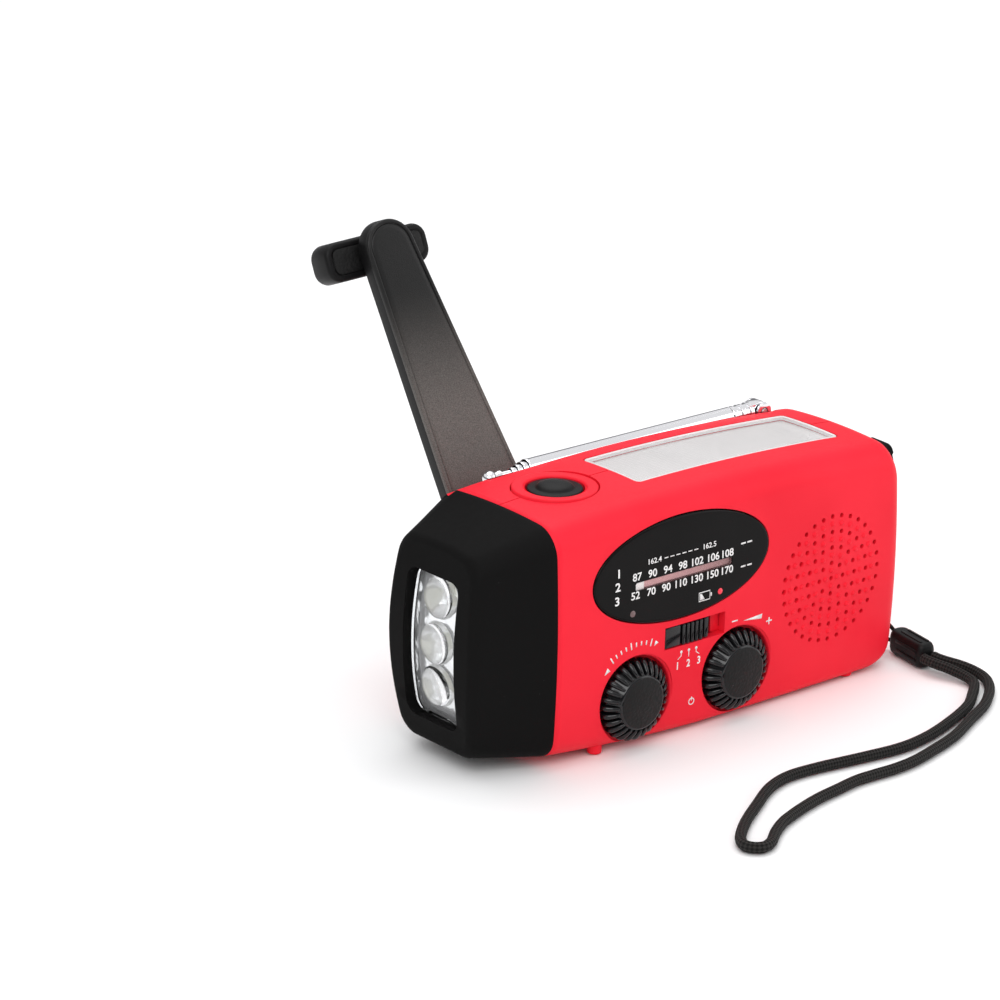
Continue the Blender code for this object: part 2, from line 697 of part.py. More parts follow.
def channel_outline(margin):
    """Where the stowed arm lies: from the hub towards the strap end."""
    return [(HUB_X, HUB_Z - CHANNEL_HALF_ROOT - margin),
            (CHANNEL_RIGHT + margin, HUB_Z - CHANNEL_HALF_TIP - margin),
            (CHANNEL_RIGHT + margin, HUB_Z + CHANNEL_HALF_TIP + margin),
            (HUB_X, HUB_Z + CHANNEL_HALF_ROOT + margin)]


def pocket_box(margin, floor):
    """Room for the grip when the arm is stowed."""
    return box("pocket", (POCKET_X - POCKET_HALF_WIDTH - margin, floor,
                          HUB_Z - POCKET_HALF_LENGTH - margin),
               (POCKET_X + POCKET_HALF_WIDTH + margin, BEYOND,
                HUB_Z + POCKET_HALF_LENGTH + margin))


def antenna_notch():
    """The finger notch past the ball tip, through the shell's end and the bezel's corner."""
    return rod("notch", (TORCH_END_X, ROD_Y, ROD_Z), (GROOVE_LEFT + OVERRUN, ROD_Y, ROD_Z),
               NOTCH_RADIUS)


def make_rear_shell():
    hollow = cavity()
    cut(hollow, across_y("hub_wall", HUB_X, HUB_Z, HUB_RECESS_FLOOR - WALL, BEYOND,
                         HUB_RECESS_RADIUS + WALL, 28))
    cut(hollow, slab("channel_wall", [channel_outline(WALL)], 'Y', CHANNEL_FLOOR - WALL, BEYOND))
    cut(hollow, pocket_box(WALL, POCKET_FLOOR - WALL))
    wall_left = SEAM_X + BEZEL_COLLAR + GAP
    cut(hollow, box("groove_wall", (wall_left, GROOVE_FRONT - WALL, GROOVE_FLOOR - WALL),
                    (GROOVE_RIGHT + WALL, BEYOND, ROOF)))
    cut(hollow, box("bracket_wall", (BRACKET_LEFT - WALL, GROOVE_FRONT - WALL,
                                     BRACKET_BASE - WALL), (GROOVE_RIGHT + WALL, BEYOND, ROOF)))
    for x, z in SCREW_PLACES:
        cut(hollow, across_y("boss", x, z, 0, BEYOND, REAR_BOSS_RADIUS))
    shell = cut(half_case("rear_shell", 1), hollow)
    cut(shell, across_y("hub_recess", HUB_X, HUB_Z, HUB_RECESS_FLOOR, BEYOND,
                        HUB_RECESS_RADIUS, 40))
    cut(shell, slab("arm_channel", [channel_outline(0)], 'Y', CHANNEL_FLOOR, BEYOND))
    cut(shell, pocket_box(0, POCKET_FLOOR))
    cut(shell, across_y("shaft_hole", HUB_X, HUB_Z, 0, BEYOND, CRANK_SHAFT_RADIUS + GAP))
    cut(shell, box("groove", (GROOVE_LEFT, GROOVE_FRONT, GROOVE_FLOOR),
                   (GROOVE_RIGHT, BEYOND, ROOF)))
    bracket_back = 2 * ROD_Y - GROOVE_FRONT
    cut(shell, box("bracket_pocket", (BRACKET_LEFT - GAP, GROOVE_FRONT, BRACKET_BASE - GAP),
                   (BRACKET_RIGHT + GAP, bracket_back, ROOF)))
    cut(shell, antenna_notch(), solar_opening(), button_opening())
    for x, z in SCREW_PLACES:
        cut(shell, across_y("head_hole", x, z, SCREW_SEAT_Y, BEYOND, SCREW_HEAD_RADIUS + GAP, 14))
        cut(shell, across_y("screw_hole", x, z, -OVERRUN, BEYOND, SCREW_RADIUS + GAP, 8))
    return dress(feet(shell, 1), RED_PLASTIC)


def make_screws():
    for number, (x, z) in enumerate(SCREW_PLACES, 1):
        seat = SCREW_SEAT_Y + GAP
        screw = across_y(f"case_screw_{number}", x, z, seat, seat + SCREW_HEAD_HEIGHT,
                         SCREW_HEAD_RADIUS, 14)
        join(screw, across_y("shank", x, z, seat + SCREW_HEAD_HEIGHT / 2, GAP - SCREW_DEPTH,
                             SCREW_RADIUS, 8))
        dress(screw, STEEL)


def make_bezel():
    bezel = loft("torch_bezel", bezel_stations())
    collar_end = SEAM_X + BEZEL_COLLAR
    inset = WALL + GAP
    collar = loft("collar", [(SEAM_X, SEAM_X - OVERRUN), (SEAM_X, SEAM_X),
                             (collar_end, collar_end)], inset, 3, 4, 2)
    cut(bezel, box("seam_gap", (SEAM_X - GAP / 2, -BEYOND, -OVERRUN), (0, BEYOND, ROOF)))
    join(bezel, collar)
    inset += BEZEL_WALL
    back = TORCH_END_X + BEZEL_END_WALL
    places = [(back, back), (SEAM_X - WELD, SEAM_X), (collar_end, collar_end + OVERRUN)]
    cut(bezel, loft("hollow", places, inset, 3, 4, 2))
    window = rounded(-WINDOW_HALF, WINDOW_HALF, WINDOW_LOW, WINDOW_HIGH, WINDOW_RADIUS)
    cut(bezel, slab("window", [window], 'X', TORCH_END_X - OVERRUN, back + OVERRUN))
    cut(bezel, antenna_notch())
    return dress(bezel, BLACK_RUBBER)


# Torch

def window_outline(clearance):
    return rounded(-WINDOW_HALF + clearance, WINDOW_HALF - clearance, WINDOW_LOW + clearance,
                   WINDOW_HIGH - clearance, WINDOW_RADIUS - clearance)


LENS_FRONT_X = TORCH_END_X + LENS_DEPTH
REFLECTOR_FRONT_X = LENS_FRONT_X + LENS_THICKNESS + GAP
REFLECTOR_BACK_X = REFLECTOR_FRONT_X + REFLECTOR_DEPTH
LED_BOARD_X = REFLECTOR_BACK_X + GAP


def make_lens():
    """A clear plate that swells towards its middle, with a round lens before each lamp."""
    lens = slab("torch_lens", [window_outline(WINDOW_CLEARANCE)], 'X',
                LENS_FRONT_X - LENS_SWELL, LENS_FRONT_X + LENS_THICKNESS)
    half_height = (WINDOW_HIGH - WINDOW_LOW) / 2
    middle = (WINDOW_HIGH + WINDOW_LOW) / 2
    swell = [(LENS_FRONT_X - LENS_SWELL * (1 - share ** 2), middle + half_height * share)
             for share in (k / 6 for k in range(-6, 7))]
    behind = LENS_FRONT_X + LENS_THICKNESS + OVERRUN
    swell = [(behind, WINDOW_LOW), *swell, (behind, WINDOW_HIGH)]
    keep(lens, slab("swell", [swell], 'Y', -WINDOW_HALF, WINDOW_HALF))
    steps = 3
    for z in LAMP_HEIGHTS:
        share = (z - middle) / half_height
        face = LENS_FRONT_X - LENS_SWELL * (1 - share ** 2)
        dome = [(BULL_EYE_RADIUS * math.sin(math.pi / 2 * k / steps),
                 BULL_EYE_RISE * math.cos(math.pi / 2 * k / steps)) for k in range(steps + 1)]
        dome += [(BULL_EYE_RADIUS, -LENS_THICKNESS / 2), (0, -LENS_THICKNESS / 2)]
        join(lens, turned("bull_eye", dome, (face, 0, z), (-1, 0, 0), 16))
    return dress(lens, CLEAR_PLASTIC)


def make_reflector():
    reflector = slab("torch_reflector", [window_outline(WINDOW_CLEARANCE)], 'X',
                     REFLECTOR_FRONT_X, REFLECTOR_BACK_X)
    for z in LAMP_HEIGHTS:
        throat = LED_RADIUS + GAP
        curve = [(DISH_RADIUS * across, -REFLECTOR_DEPTH * deep) for across, deep in DISH_SHARES]
        dish = [(DISH_RADIUS, OVERRUN), *curve, (throat, -REFLECTOR_DEPTH * DISH_END_SHARE),
                (throat, -REFLECTOR_DEPTH - OVERRUN), (0, -REFLECTOR_DEPTH - OVERRUN)]
        dish.insert(0, (0, OVERRUN))
        cut(reflector, turned("dish", dish, (REFLECTOR_FRONT_X, 0, z), (-1, 0, 0), 16))
    return dress(reflector, CHROME)


def make_lamps():
    for number, z in enumerate(LAMP_HEIGHTS, 1):
        steps = 3
        dome = [(LED_RADIUS * math.sin(math.pi / 2 * k / steps),
                 LED_LENGTH - LED_RADIUS * (1 - math.cos(math.pi / 2 * k / steps)))
                for k in range(steps + 1)]
        lamp = turned(f"torch_led_{number}", [*dome, (LED_RADIUS, 0), (0, 0)],
                      (REFLECTOR_BACK_X, 0, z), (-1, 0, 0), 12)
        dress(lamp, CLEAR_PLASTIC)
    board = slab("led_board", [window_outline(WINDOW_CLEARANCE)], 'X', LED_BOARD_X,
                 LED_BOARD_X + BOARD_THICKNESS)
    dress(board, BOARD)


# Control face

POINTER_SHARE = 0.7             # half the pointer's height, of the slot's height
RAIL_HEIGHT = 0.0030
RAIL_THICKNESS = 0.0017
BOARD_CLEARANCE = 0.0005
BOARD_FRONT_Y = RECESS_FLOOR_Y + RECESS_FLOOR + BOARD_CLEARANCE
BOARD_BACK_Y = BOARD_FRONT_Y + BOARD_THICKNESS
CONTROL_FRONT_Y = BOARD_BACK_Y + GAP
POINTER_FRONT_Y = -HALF_DEPTH + 0.0015
POINTER_THICKNESS = 0.0013
CAPACITOR_SIZE = 0.0160
CAPACITOR_DEPTH = 0.0080
VOLUME_RADIUS = 0.0075
VOLUME_DEPTH = 0.0070
SWITCH_BODY_LEFT, SWITCH_BODY_RIGHT = -0.0130, 0.0022
SWITCH_BODY_MARGIN = 0.0004
SLIDER_PROUD = 0.0002
SLIDER_BACK_Y = -HALF_DEPTH + 0.0022


def slot_outline(clearance):
    low, high = SLOT_Z - SLOT_HEIGHT / 2, SLOT_Z + SLOT_HEIGHT / 2
    return rounded(SLOT_LEFT + clearance, SLOT_RIGHT - clearance, low + clearance,
                   high - clearance, SLOT_HEIGHT / 4)


def make_dial():
    outline = oval(DIAL_X, DIAL_Z, DIAL_HALF_LENGTH, DIAL_HALF_HEIGHT)
    behind = -HALF_DEPTH + WALL * 2
    window = skin("dial_window", outline, 'Y', -BEYOND, behind, -DIAL_RIM_RISE,
                  DIAL_THICKNESS - DIAL_RIM_RISE)
    cut(window, slab("slot", [slot_outline(0)], 'Y', -BEYOND, behind))
    dress(window, BLACK_GLOSS)
    strip = skin("slot_window", slot_outline(GAP / 2), 'Y', -BEYOND, behind, 0,
                 DIAL_THICKNESS - DIAL_RIM_RISE)
    dress(strip, CLEAR_PLASTIC)
    left = SLOT_LEFT + GAP
    height = SLOT_HEIGHT * POINTER_SHARE
    pointer = box("dial_pointer", (left, POINTER_FRONT_Y, SLOT_Z - height),
                  (left + POINTER_WIDTH, POINTER_FRONT_Y + POINTER_THICKNESS, SLOT_Z + height))
    dress(pointer, CREAM_PLASTIC)
    rail_front = POINTER_FRONT_Y + POINTER_THICKNESS + GAP
    rail = box("pointer_rail", (SLOT_LEFT, rail_front, SLOT_Z - RAIL_HEIGHT / 2),
               (SLOT_RIGHT, BOARD_FRONT_Y - GAP, SLOT_Z + RAIL_HEIGHT / 2))
    dress(rail, BLACK_SATIN)


def fluted_ring(radius, depth):
    """A knob's outline: a ridge and a valley for each flute."""
    steps = KNOB_FLUTES * 2
    return [(math.cos(math.tau * k / steps) * (radius - depth * (k % 2)),
             math.sin(math.tau * k / steps) * (radius - depth * (k % 2))) for k in range(steps)]


def make_knob(name, x):
    """A fluted skirt that narrows to a flat cap, lofted, on its shaft."""
    back = RECESS_FLOOR_Y - SLIDE_GAP
    front = -HALF_DEPTH - KNOB_PROUD
    shape = bmesh.new()
    made = []
    for height_share, radius_share, flute_share in KNOB_SHARES:
        y = mix(back, front, height_share)
        outline = fluted_ring(KNOB_RADIUS * radius_share, FLUTE_DEPTH * flute_share)
        made.append([shape.verts.new((x + across, y, KNOB_Z + up)) for across, up in outline])
    for ring_a, ring_b in zip(made, made[1:]):
        for k, vert in enumerate(ring_a):
            after = (k + 1) % len(ring_a)
            shape.faces.new((vert, ring_a[after], ring_b[after], ring_b[k]))
    shape.faces.new(made[0])
    shape.faces.new(made[-1])
    bmesh.ops.recalc_face_normals(shape, faces=shape.faces)
    knob = from_bmesh(name, shape)
    join(knob, across_y("shaft", x, KNOB_Z, mix(back, front, 0.3), CONTROL_FRONT_Y - GAP,
                        SHAFT_RADIUS, 20))
    dress(knob, BLACK_GLOSS, 25)
    return set_axis(knob, (x, RECESS_FLOOR_Y, KNOB_Z))


def make_band_switch():
    left = SWITCH_LEFT + GAP
    front = -HALF_DEPTH - SLIDER_PROUD
    slider = box("band_switch_slider", (left, front, SWITCH_LOW + GAP),
                 (left + SLIDER_LENGTH, SLIDER_BACK_Y, SWITCH_HIGH - GAP))
    pitch = SLIDER_LENGTH / (SLIDER_RIBS * 2 + 1)
    for k in range(SLIDER_RIBS):
        start = left + pitch * (2 * k + 1)
        cut(slider, box("valley", (start, front - OVERRUN, SWITCH_LOW),
                        (start + pitch, front + FLUTE_DEPTH, SWITCH_HIGH)))
    dress(slider, BLACK_GLOSS)
    body = box("band_switch_body", (SWITCH_BODY_LEFT, SLIDER_BACK_Y + GAP,
                                    SWITCH_LOW - SWITCH_BODY_MARGIN),
               (SWITCH_BODY_RIGHT, BOARD_FRONT_Y - GAP, SWITCH_HIGH + SWITCH_BODY_MARGIN))
    dress(body, STEEL)


MAIN_BOARD_LEFT, MAIN_BOARD_RIGHT = -0.0324, 0.0200
MAIN_BOARD_LOW, MAIN_BOARD_HIGH = 0.0060, TOP_HEIGHT - 0.0092


def make_boards():
    board = box("main_board", (MAIN_BOARD_LEFT, BOARD_FRONT_Y, MAIN_BOARD_LOW),
                (MAIN_BOARD_RIGHT, BOARD_BACK_Y, MAIN_BOARD_HIGH))
    for x in (TUNING_X, VOLUME_X):
        cut(board, across_y("shaft_hole", x, KNOB_Z, BOARD_FRONT_Y - OVERRUN,
                            BOARD_BACK_Y + OVERRUN, SHAFT_RADIUS + GAP))
    dress(board, BOARD)
    half = CAPACITOR_SIZE / 2
    capacitor = box("tuning_capacitor", (TUNING_X - half, CONTROL_FRONT_Y, KNOB_Z - half),
                    (TUNING_X + half, CONTROL_FRONT_Y + CAPACITOR_DEPTH, KNOB_Z + half))
    dress(capacitor, CREAM_PLASTIC)
    control = across_y("volume_control", VOLUME_X, KNOB_Z, CONTROL_FRONT_Y,
                       CONTROL_FRONT_Y + VOLUME_DEPTH, VOLUME_RADIUS, 28)
    dress(control, STEEL)


# Speaker, aerial rod, battery and sockets

SPEAKER_RADIUS = 0.0180
SPEAKER_RIM_Y = -HALF_DEPTH + 0.0031
SPEAKER_DEPTH = 0.0082
SPEAKER_SHEET = 0.0008
SEAT_SHARE, INSIDE_SHARE, HOLE_SHARE = 0.86, 0.82, 0.4
CONE_MIDDLE_SHARE, CONE_DOME_SHARE, CONE_NECK_SHARE, CONE_RIM_SHARE = 0.55, 0.5, 0.62, 0.80
SPEAKER_MAGNET_RADIUS = 0.0090
SPEAKER_MAGNET_LENGTH = 0.0050
AERIAL_Y, AERIAL_Z = -HALF_DEPTH + 0.0128, TOP_HEIGHT - 0.0152
AERIAL_RADIUS = 0.0040
AERIAL_LEFT, AERIAL_RIGHT = -0.0180, STRAP_END_X - 0.0224
COIL_LEFT, COIL_RIGHT = -0.0150, -0.0030
COIL_THICKNESS = 0.0013
BATTERY_LEFT, BATTERY_RIGHT = -0.0060, STRAP_END_X - 0.0344
BATTERY_FRONT, BATTERY_BACK = HALF_DEPTH - 0.0203, HALF_DEPTH - 0.0063
BATTERY_HEIGHT = 0.0139
BATTERY_EDGE = 0.0020


def make_speaker():
    outer, inner = SPEAKER_RADIUS, SPEAKER_MAGNET_RADIUS
    sheet, depth = SPEAKER_SHEET, SPEAKER_DEPTH
    seat, inside, hole = (outer * SEAT_SHARE, outer * INSIDE_SHARE, inner * HOLE_SHARE)
    basket = [(outer, 0), (outer, -sheet), (seat, -sheet), (inner, -depth), (hole, -depth),
              (hole, -depth + sheet), (inner - sheet, -depth + sheet), (inside, 0), (outer, 0)]
    place = (GRILLE_X, SPEAKER_RIM_Y, GRILLE_Z)
    dress(turned("speaker_frame", basket, place, (0, -1, 0), 24), STEEL)
    middle, dome, neck = -depth * CONE_MIDDLE_SHARE, inner * CONE_DOME_SHARE, -depth * CONE_NECK_SHARE
    rim = outer * CONE_RIM_SHARE
    cone = [(0, middle), (dome, neck), (rim, 0), (rim - sheet, -sheet), (dome, neck - sheet),
            (0, middle - sheet)]
    dress(turned("speaker_cone", cone, place, (0, -1, 0), 24), PAPER_CONE)
    back = SPEAKER_RIM_Y + depth + GAP
    magnet = across_y("speaker_magnet", GRILLE_X, GRILLE_Z, back, back + SPEAKER_MAGNET_LENGTH,
                      SPEAKER_MAGNET_RADIUS, 28)
    dress(magnet, FERRITE)


def make_aerial():
    aerial = rod("ferrite_rod", (AERIAL_LEFT, AERIAL_Y, AERIAL_Z),
                 (AERIAL_RIGHT, AERIAL_Y, AERIAL_Z), AERIAL_RADIUS, 20)
    dress(aerial, FERRITE)
    length = COIL_RIGHT - COIL_LEFT
    inner = AERIAL_RADIUS + GAP
    ring = [(inner + COIL_THICKNESS, length), (inner + COIL_THICKNESS, 0), (inner, 0),
            (inner, length), (inner + COIL_THICKNESS, length)]
    coil = turned("ferrite_coil", ring, (COIL_LEFT, AERIAL_Y, AERIAL_Z), (1, 0, 0), 24)
    dress(coil, COPPER)


def make_battery():
    floor = section(0)["bottom"] + WALL + SLIDE_GAP
    battery = box("battery_pack", (BATTERY_LEFT, BATTERY_FRONT, floor),
                  (BATTERY_RIGHT, BATTERY_BACK, floor + BATTERY_HEIGHT), edge=BATTERY_EDGE)
    dress(battery, GREEN_SLEEVE)


def make_sockets():
    right = STRAP_END_X - GAP
    left = right - SOCKET_LENGTH
    wall = SOCKET_WALL
    socket = box("usb_socket", (left, SOCKET_FRONT, SOCKET_LOW), (right, SOCKET_BACK, SOCKET_HIGH))
    cut(socket, box("mouth", (left + wall * 3, SOCKET_FRONT + wall, SOCKET_LOW + wall),
                    (right + OVERRUN, SOCKET_BACK - wall, SOCKET_HIGH - wall)))
    tongue = (SOCKET_BACK - SOCKET_FRONT) * TONGUE_SHARE
    join(socket, box("tongue", (left + wall, SOCKET_FRONT + wall * 2, SOCKET_LOW + wall * 3),
                     (right - wall * 3, SOCKET_FRONT + wall * 2 + tongue,
                      SOCKET_HIGH - wall * 3)))
    dress(socket, STEEL)
    middle = (SOCKET_FRONT + SOCKET_BACK) / 2
    jack = rod("charge_jack", (left, middle, JACK_Z), (right, middle, JACK_Z), JACK_RADIUS, 20)
    cut(jack, rod("bore", (left + JACK_RADIUS, middle, JACK_Z),
                  (right + OVERRUN, middle, JACK_Z), JACK_BORE, 16))
    join(jack, rod("contact", (left + JACK_RADIUS / 2, middle, JACK_Z),
                   (right - JACK_RADIUS / 2, middle, JACK_Z), JACK_PIN, 8))
    dress(jack, BLACK_GLOSS)


COVER_FRONT, COVER_BACK = -0.0155, -0.0060
COVER_LOW, COVER_HIGH = 0.0245, 0.0555
COVER_THICKNESS = 0.0012
COVER_RADIUS = 0.0020
COVER_AXIS_OUT = 0.0008
COVER_AXIS_X = STRAP_END_X + COVER_AXIS_OUT
COVER_AXIS_Z = COVER_LOW + GAP
TAB_LOW = 0.0525
TAB_RISE = 0.0011


def make_port_cover():
    outline = rounded(COVER_FRONT, COVER_BACK, COVER_LOW, COVER_HIGH, COVER_RADIUS)
    start, end = STRAP_END_X - END_BOTTOM_RADIUS, STRAP_END_X + OVERRUN
    cover = skin("port_cover", outline, 'X', start, end, -GAP - COVER_THICKNESS, -GAP)
    tab = rounded(COVER_FRONT + COVER_RADIUS, COVER_BACK - COVER_RADIUS, TAB_LOW,
                  COVER_HIGH - GAP, COVER_RADIUS / 2)
    join(cover, skin("tab", tab, 'X', start, end, -GAP - COVER_THICKNESS - TAB_RISE,
                     -COVER_THICKNESS / 2))
    dress(cover, BLACK_RUBBER)
    return set_axis(cover, (COVER_AXIS_X, (COVER_FRONT + COVER_BACK) / 2, COVER_AXIS_Z))


# Top: solar window and torch button

BUTTON_FLANGE = 0.0016
BUTTON_STEM = 0.0020
BUTTON_STEM_RADIUS = 0.0020
SWITCH_HEIGHT = 0.0037
SWITCH_HALF = 0.0030
SWITCH_PLATE_HALF = 0.0034
SWITCH_PLATE_BACK = 0.0034


def make_solar():
    outline = rounded(SOLAR_LEFT, SOLAR_RIGHT, -SOLAR_HALF, SOLAR_HALF, SOLAR_RADIUS)
    low = UNDER_ROOF
    dress(skin("solar_window", outline, 'Z', low, ROOF, -GAP / 3, SOLAR_THICKNESS), CLEAR_PLASTIC)
    cell_top = SOLAR_THICKNESS + GAP
    dress(skin("solar_cell", outline, 'Z', low, ROOF, cell_top, cell_top + SPEAKER_SHEET), CELL)


def make_torch_button():
    top = top_z(BUTTON_X)
    ring = [(BUTTON_RING_RADIUS, -GAP / 2), (BUTTON_RING_RADIUS, -WALL),
            (BUTTON_FLANGE_RADIUS + SLIDE_GAP, -WALL),
            (BUTTON_FLANGE_RADIUS + SLIDE_GAP, -GAP / 2), (BUTTON_RING_RADIUS, -GAP / 2)]
    centre = (BUTTON_X, BUTTON_Y, top)
    dress(turned("button_ring", ring, centre, (0, 0, 1), 32), RED_PLASTIC)
    steps = 4
    flange_top = GAP
    profile = [(BUTTON_DOME_RADIUS * math.sin(math.pi / 2 * k / steps),
                flange_top + BUTTON_PROUD * math.cos(math.pi / 2 * k / steps))
               for k in range(steps + 1)]
    bottom = flange_top - BUTTON_FLANGE
    profile += [(BUTTON_FLANGE_RADIUS, flange_top), (BUTTON_FLANGE_RADIUS, bottom),
                (BUTTON_STEM_RADIUS, bottom), (BUTTON_STEM_RADIUS, bottom - BUTTON_STEM),
                (0, bottom - BUTTON_STEM)]
    button = turned("torch_button", profile, centre, (0, 0, 1), 24)
    dress(button, BLACK_RUBBER)
    switch_top = top + bottom - BUTTON_STEM - BUTTON_TRAVEL - GAP
    plate_top = switch_top - SWITCH_HEIGHT
    switch = box("button_switch", (BUTTON_X - SWITCH_PLATE_HALF, BOARD_BACK_Y + GAP,
                                   plate_top - BOARD_THICKNESS),
                 (BUTTON_X + SWITCH_PLATE_HALF, SWITCH_PLATE_BACK, plate_top))
    join(switch, box("body", (BUTTON_X - SWITCH_HALF, -SWITCH_HALF, plate_top - GAP),
                     (BUTTON_X + SWITCH_HALF, SWITCH_HALF, switch_top)))
    dress(switch, STEEL)


# Antenna: a bracket, a knuckle that tilts, and five tubes one inside the next

KNUCKLE_HALF = 0.0016
COLLAR_LEFT, COLLAR_RIGHT = PIVOT_X - 0.0095, PIVOT_X - 0.0028
COLLAR_RADIUS = 0.0022
COLLAR_RINGS = 5
TONGUE_HEIGHT_SHARE = 0.9
EAR_RADIUS = 0.0022
EAR_THICKNESS = 0.0007
ANTENNA_PIN_RADIUS = 0.0009
SECTION_TRAVEL = 0.0560


def make_antenna():
    front, back = GROOVE_FRONT + GAP, 2 * ROD_Y - GROOVE_FRONT - GAP
    bracket = box("antenna_bracket", (BRACKET_LEFT, front, BRACKET_BASE),
                  (BRACKET_RIGHT, back, GROOVE_FLOOR))
    ear = [(PIVOT_X - EAR_RADIUS, GROOVE_FLOOR - GAP), (PIVOT_X + EAR_RADIUS, GROOVE_FLOOR - GAP),
           *arc(PIVOT_X, ROD_Z, EAR_RADIUS, 0, 180, 10)]
    for start in (front, back - EAR_THICKNESS):
        join(bracket, slab("ear", [ear], 'Y', start, start + EAR_THICKNESS))
    hole = ANTENNA_PIN_RADIUS + GAP
    cut(bracket, across_y("pin_hole", PIVOT_X, ROD_Z, front - OVERRUN, back + OVERRUN, hole))
    dress(bracket, CHROME)
    dress(across_y("antenna_pin", PIVOT_X, ROD_Z, front, back, ANTENNA_PIN_RADIUS), STEEL)
    pivot = (PIVOT_X, ROD_Y, ROD_Z)
    tongue = [(COLLAR_RIGHT - WALL, ROD_Z - COLLAR_RADIUS * TONGUE_HEIGHT_SHARE),
              *arc(PIVOT_X, ROD_Z, ROD_RADII[0], -90, 90, 10),
              (COLLAR_RIGHT - WALL, ROD_Z + COLLAR_RADIUS * TONGUE_HEIGHT_SHARE)]
    knuckle = slab("antenna_knuckle", [tongue], 'Y', ROD_Y - KNUCKLE_HALF, ROD_Y + KNUCKLE_HALF)
    rib = (COLLAR_RIGHT - COLLAR_LEFT) / COLLAR_RINGS
    profile = []
    for k in range(COLLAR_RINGS):
        radius = COLLAR_RADIUS if k % 2 else ROD_RADII[0]
        profile += [(radius, -k * rib), (radius, -(k + 1) * rib)]
    profile = [(0, 0), *profile, (0, -COLLAR_RINGS * rib)]
    join(knuckle, turned("collar", profile, (COLLAR_RIGHT, ROD_Y, ROD_Z), (1, 0, 0), 14))
    cut(knuckle, across_y("pin_hole", PIVOT_X, ROD_Z, front - OVERRUN, back + OVERRUN, hole))
    set_axis(dress(knuckle, CHROME), pivot)
    right = COLLAR_LEFT - GAP
    for number, radius in enumerate(ROD_RADII, 1):
        left = ROD_LEFT - COLLAR_STEP * (number - 1)
        last = number == len(ROD_RADII)
        left = TIP_X + TIP_RADIUS / 2 if last else left
        bore = radius - ROD_WALL
        near = right - INNER_STEP * (number - 1)
        wall = [(radius, near - left), (radius, 0), (bore, 0), (bore, near - left),
                (radius, near - left)]
        if last:
            wall = [(0, near - left), (radius, near - left), (radius, 0), (0, 0)]
        section_piece = turned(f"antenna_section_{number}", wall, (left, ROD_Y, ROD_Z),
                               (1, 0, 0), 16)
        if last:
            ball = [(TIP_RADIUS * math.sin(math.pi * k / 6), TIP_RADIUS * math.cos(math.pi * k / 6))
                    for k in range(7)]
            ball[0], ball[-1] = (0, TIP_RADIUS), (0, -TIP_RADIUS)
            join(section_piece, turned("tip", ball, (TIP_X, ROD_Y, ROD_Z), (1, 0, 0), 14))
        dress(section_piece, CHROME)


# Crank: hub, folding arm and grip. In the arm's own axes, x runs along the fold pin, y along
# the arm from the hinge, and z from the arm's back to its cover.

def crank_axes(tilt):
    lean = Vector((-math.sin(ARM_LEAN), 0, math.cos(ARM_LEAN)))
    along_pin = Vector((math.cos(ARM_LEAN), 0, math.sin(ARM_LEAN)))
    along = lean * math.cos(tilt) + Vector((0, 1, 0)) * math.sin(tilt)
    to_cover = along_pin.cross(along)
    hinge = Vector((HUB_X, HINGE_Y, HUB_Z)) + lean * HINGE_FROM_HUB
    axes = Matrix((along_pin, along, to_cover)).transposed().to_4x4()
    return Matrix.Translation(hinge) @ axes


HUB_AXES = crank_axes(0)
ARM_AXES = crank_axes(ARM_TILT)
ARM_ROOT = 0.0010               # how far the arm reaches past its hinge
NOTCH_HALF = 0.0052
NOTCH_DEPTH = 0.0032
KNUCKLE_OUTER = 0.0094
GRIP_PIN_RADIUS = 0.0015
GRIP_EDGE = 0.0010
PANEL_MARGIN = 0.0011
PANEL_DEPTH = 0.0004
HUB_BACK_Y = HUB_RECESS_FLOOR + SLIDE_GAP
GEAR_PLATE_BACK_Y = HUB_RECESS_FLOOR - WALL - GAP
GEAR_PLATE_FRONT_Y = GEAR_PLATE_BACK_Y - GEAR_PLATE_THICKNESS
CRANK_GEAR_BACK_Y = GEAR_PLATE_FRONT_Y - GAP
CRANK_GEAR_FRONT_Y = CRANK_GEAR_BACK_Y - GEAR_WIDTH


def turn_with(piece, axes):
    """Place a piece that was made in a joint's own axes."""
    piece.matrix_basis = axes @ piece.matrix_basis
    return piece


def arm_outline(start, inset=0.0):
    """The arm's plan: straight tapered sides and a round tip."""
    tip = ARM_LENGTH - ARM_TIP_RADIUS
    half = mix(ARM_ROOT_HALF, ARM_TIP_RADIUS, start / tip) - inset
    return [(-half, start), (half, start),
            *arc(0, tip, ARM_TIP_RADIUS - inset, 0, 180, 12)]


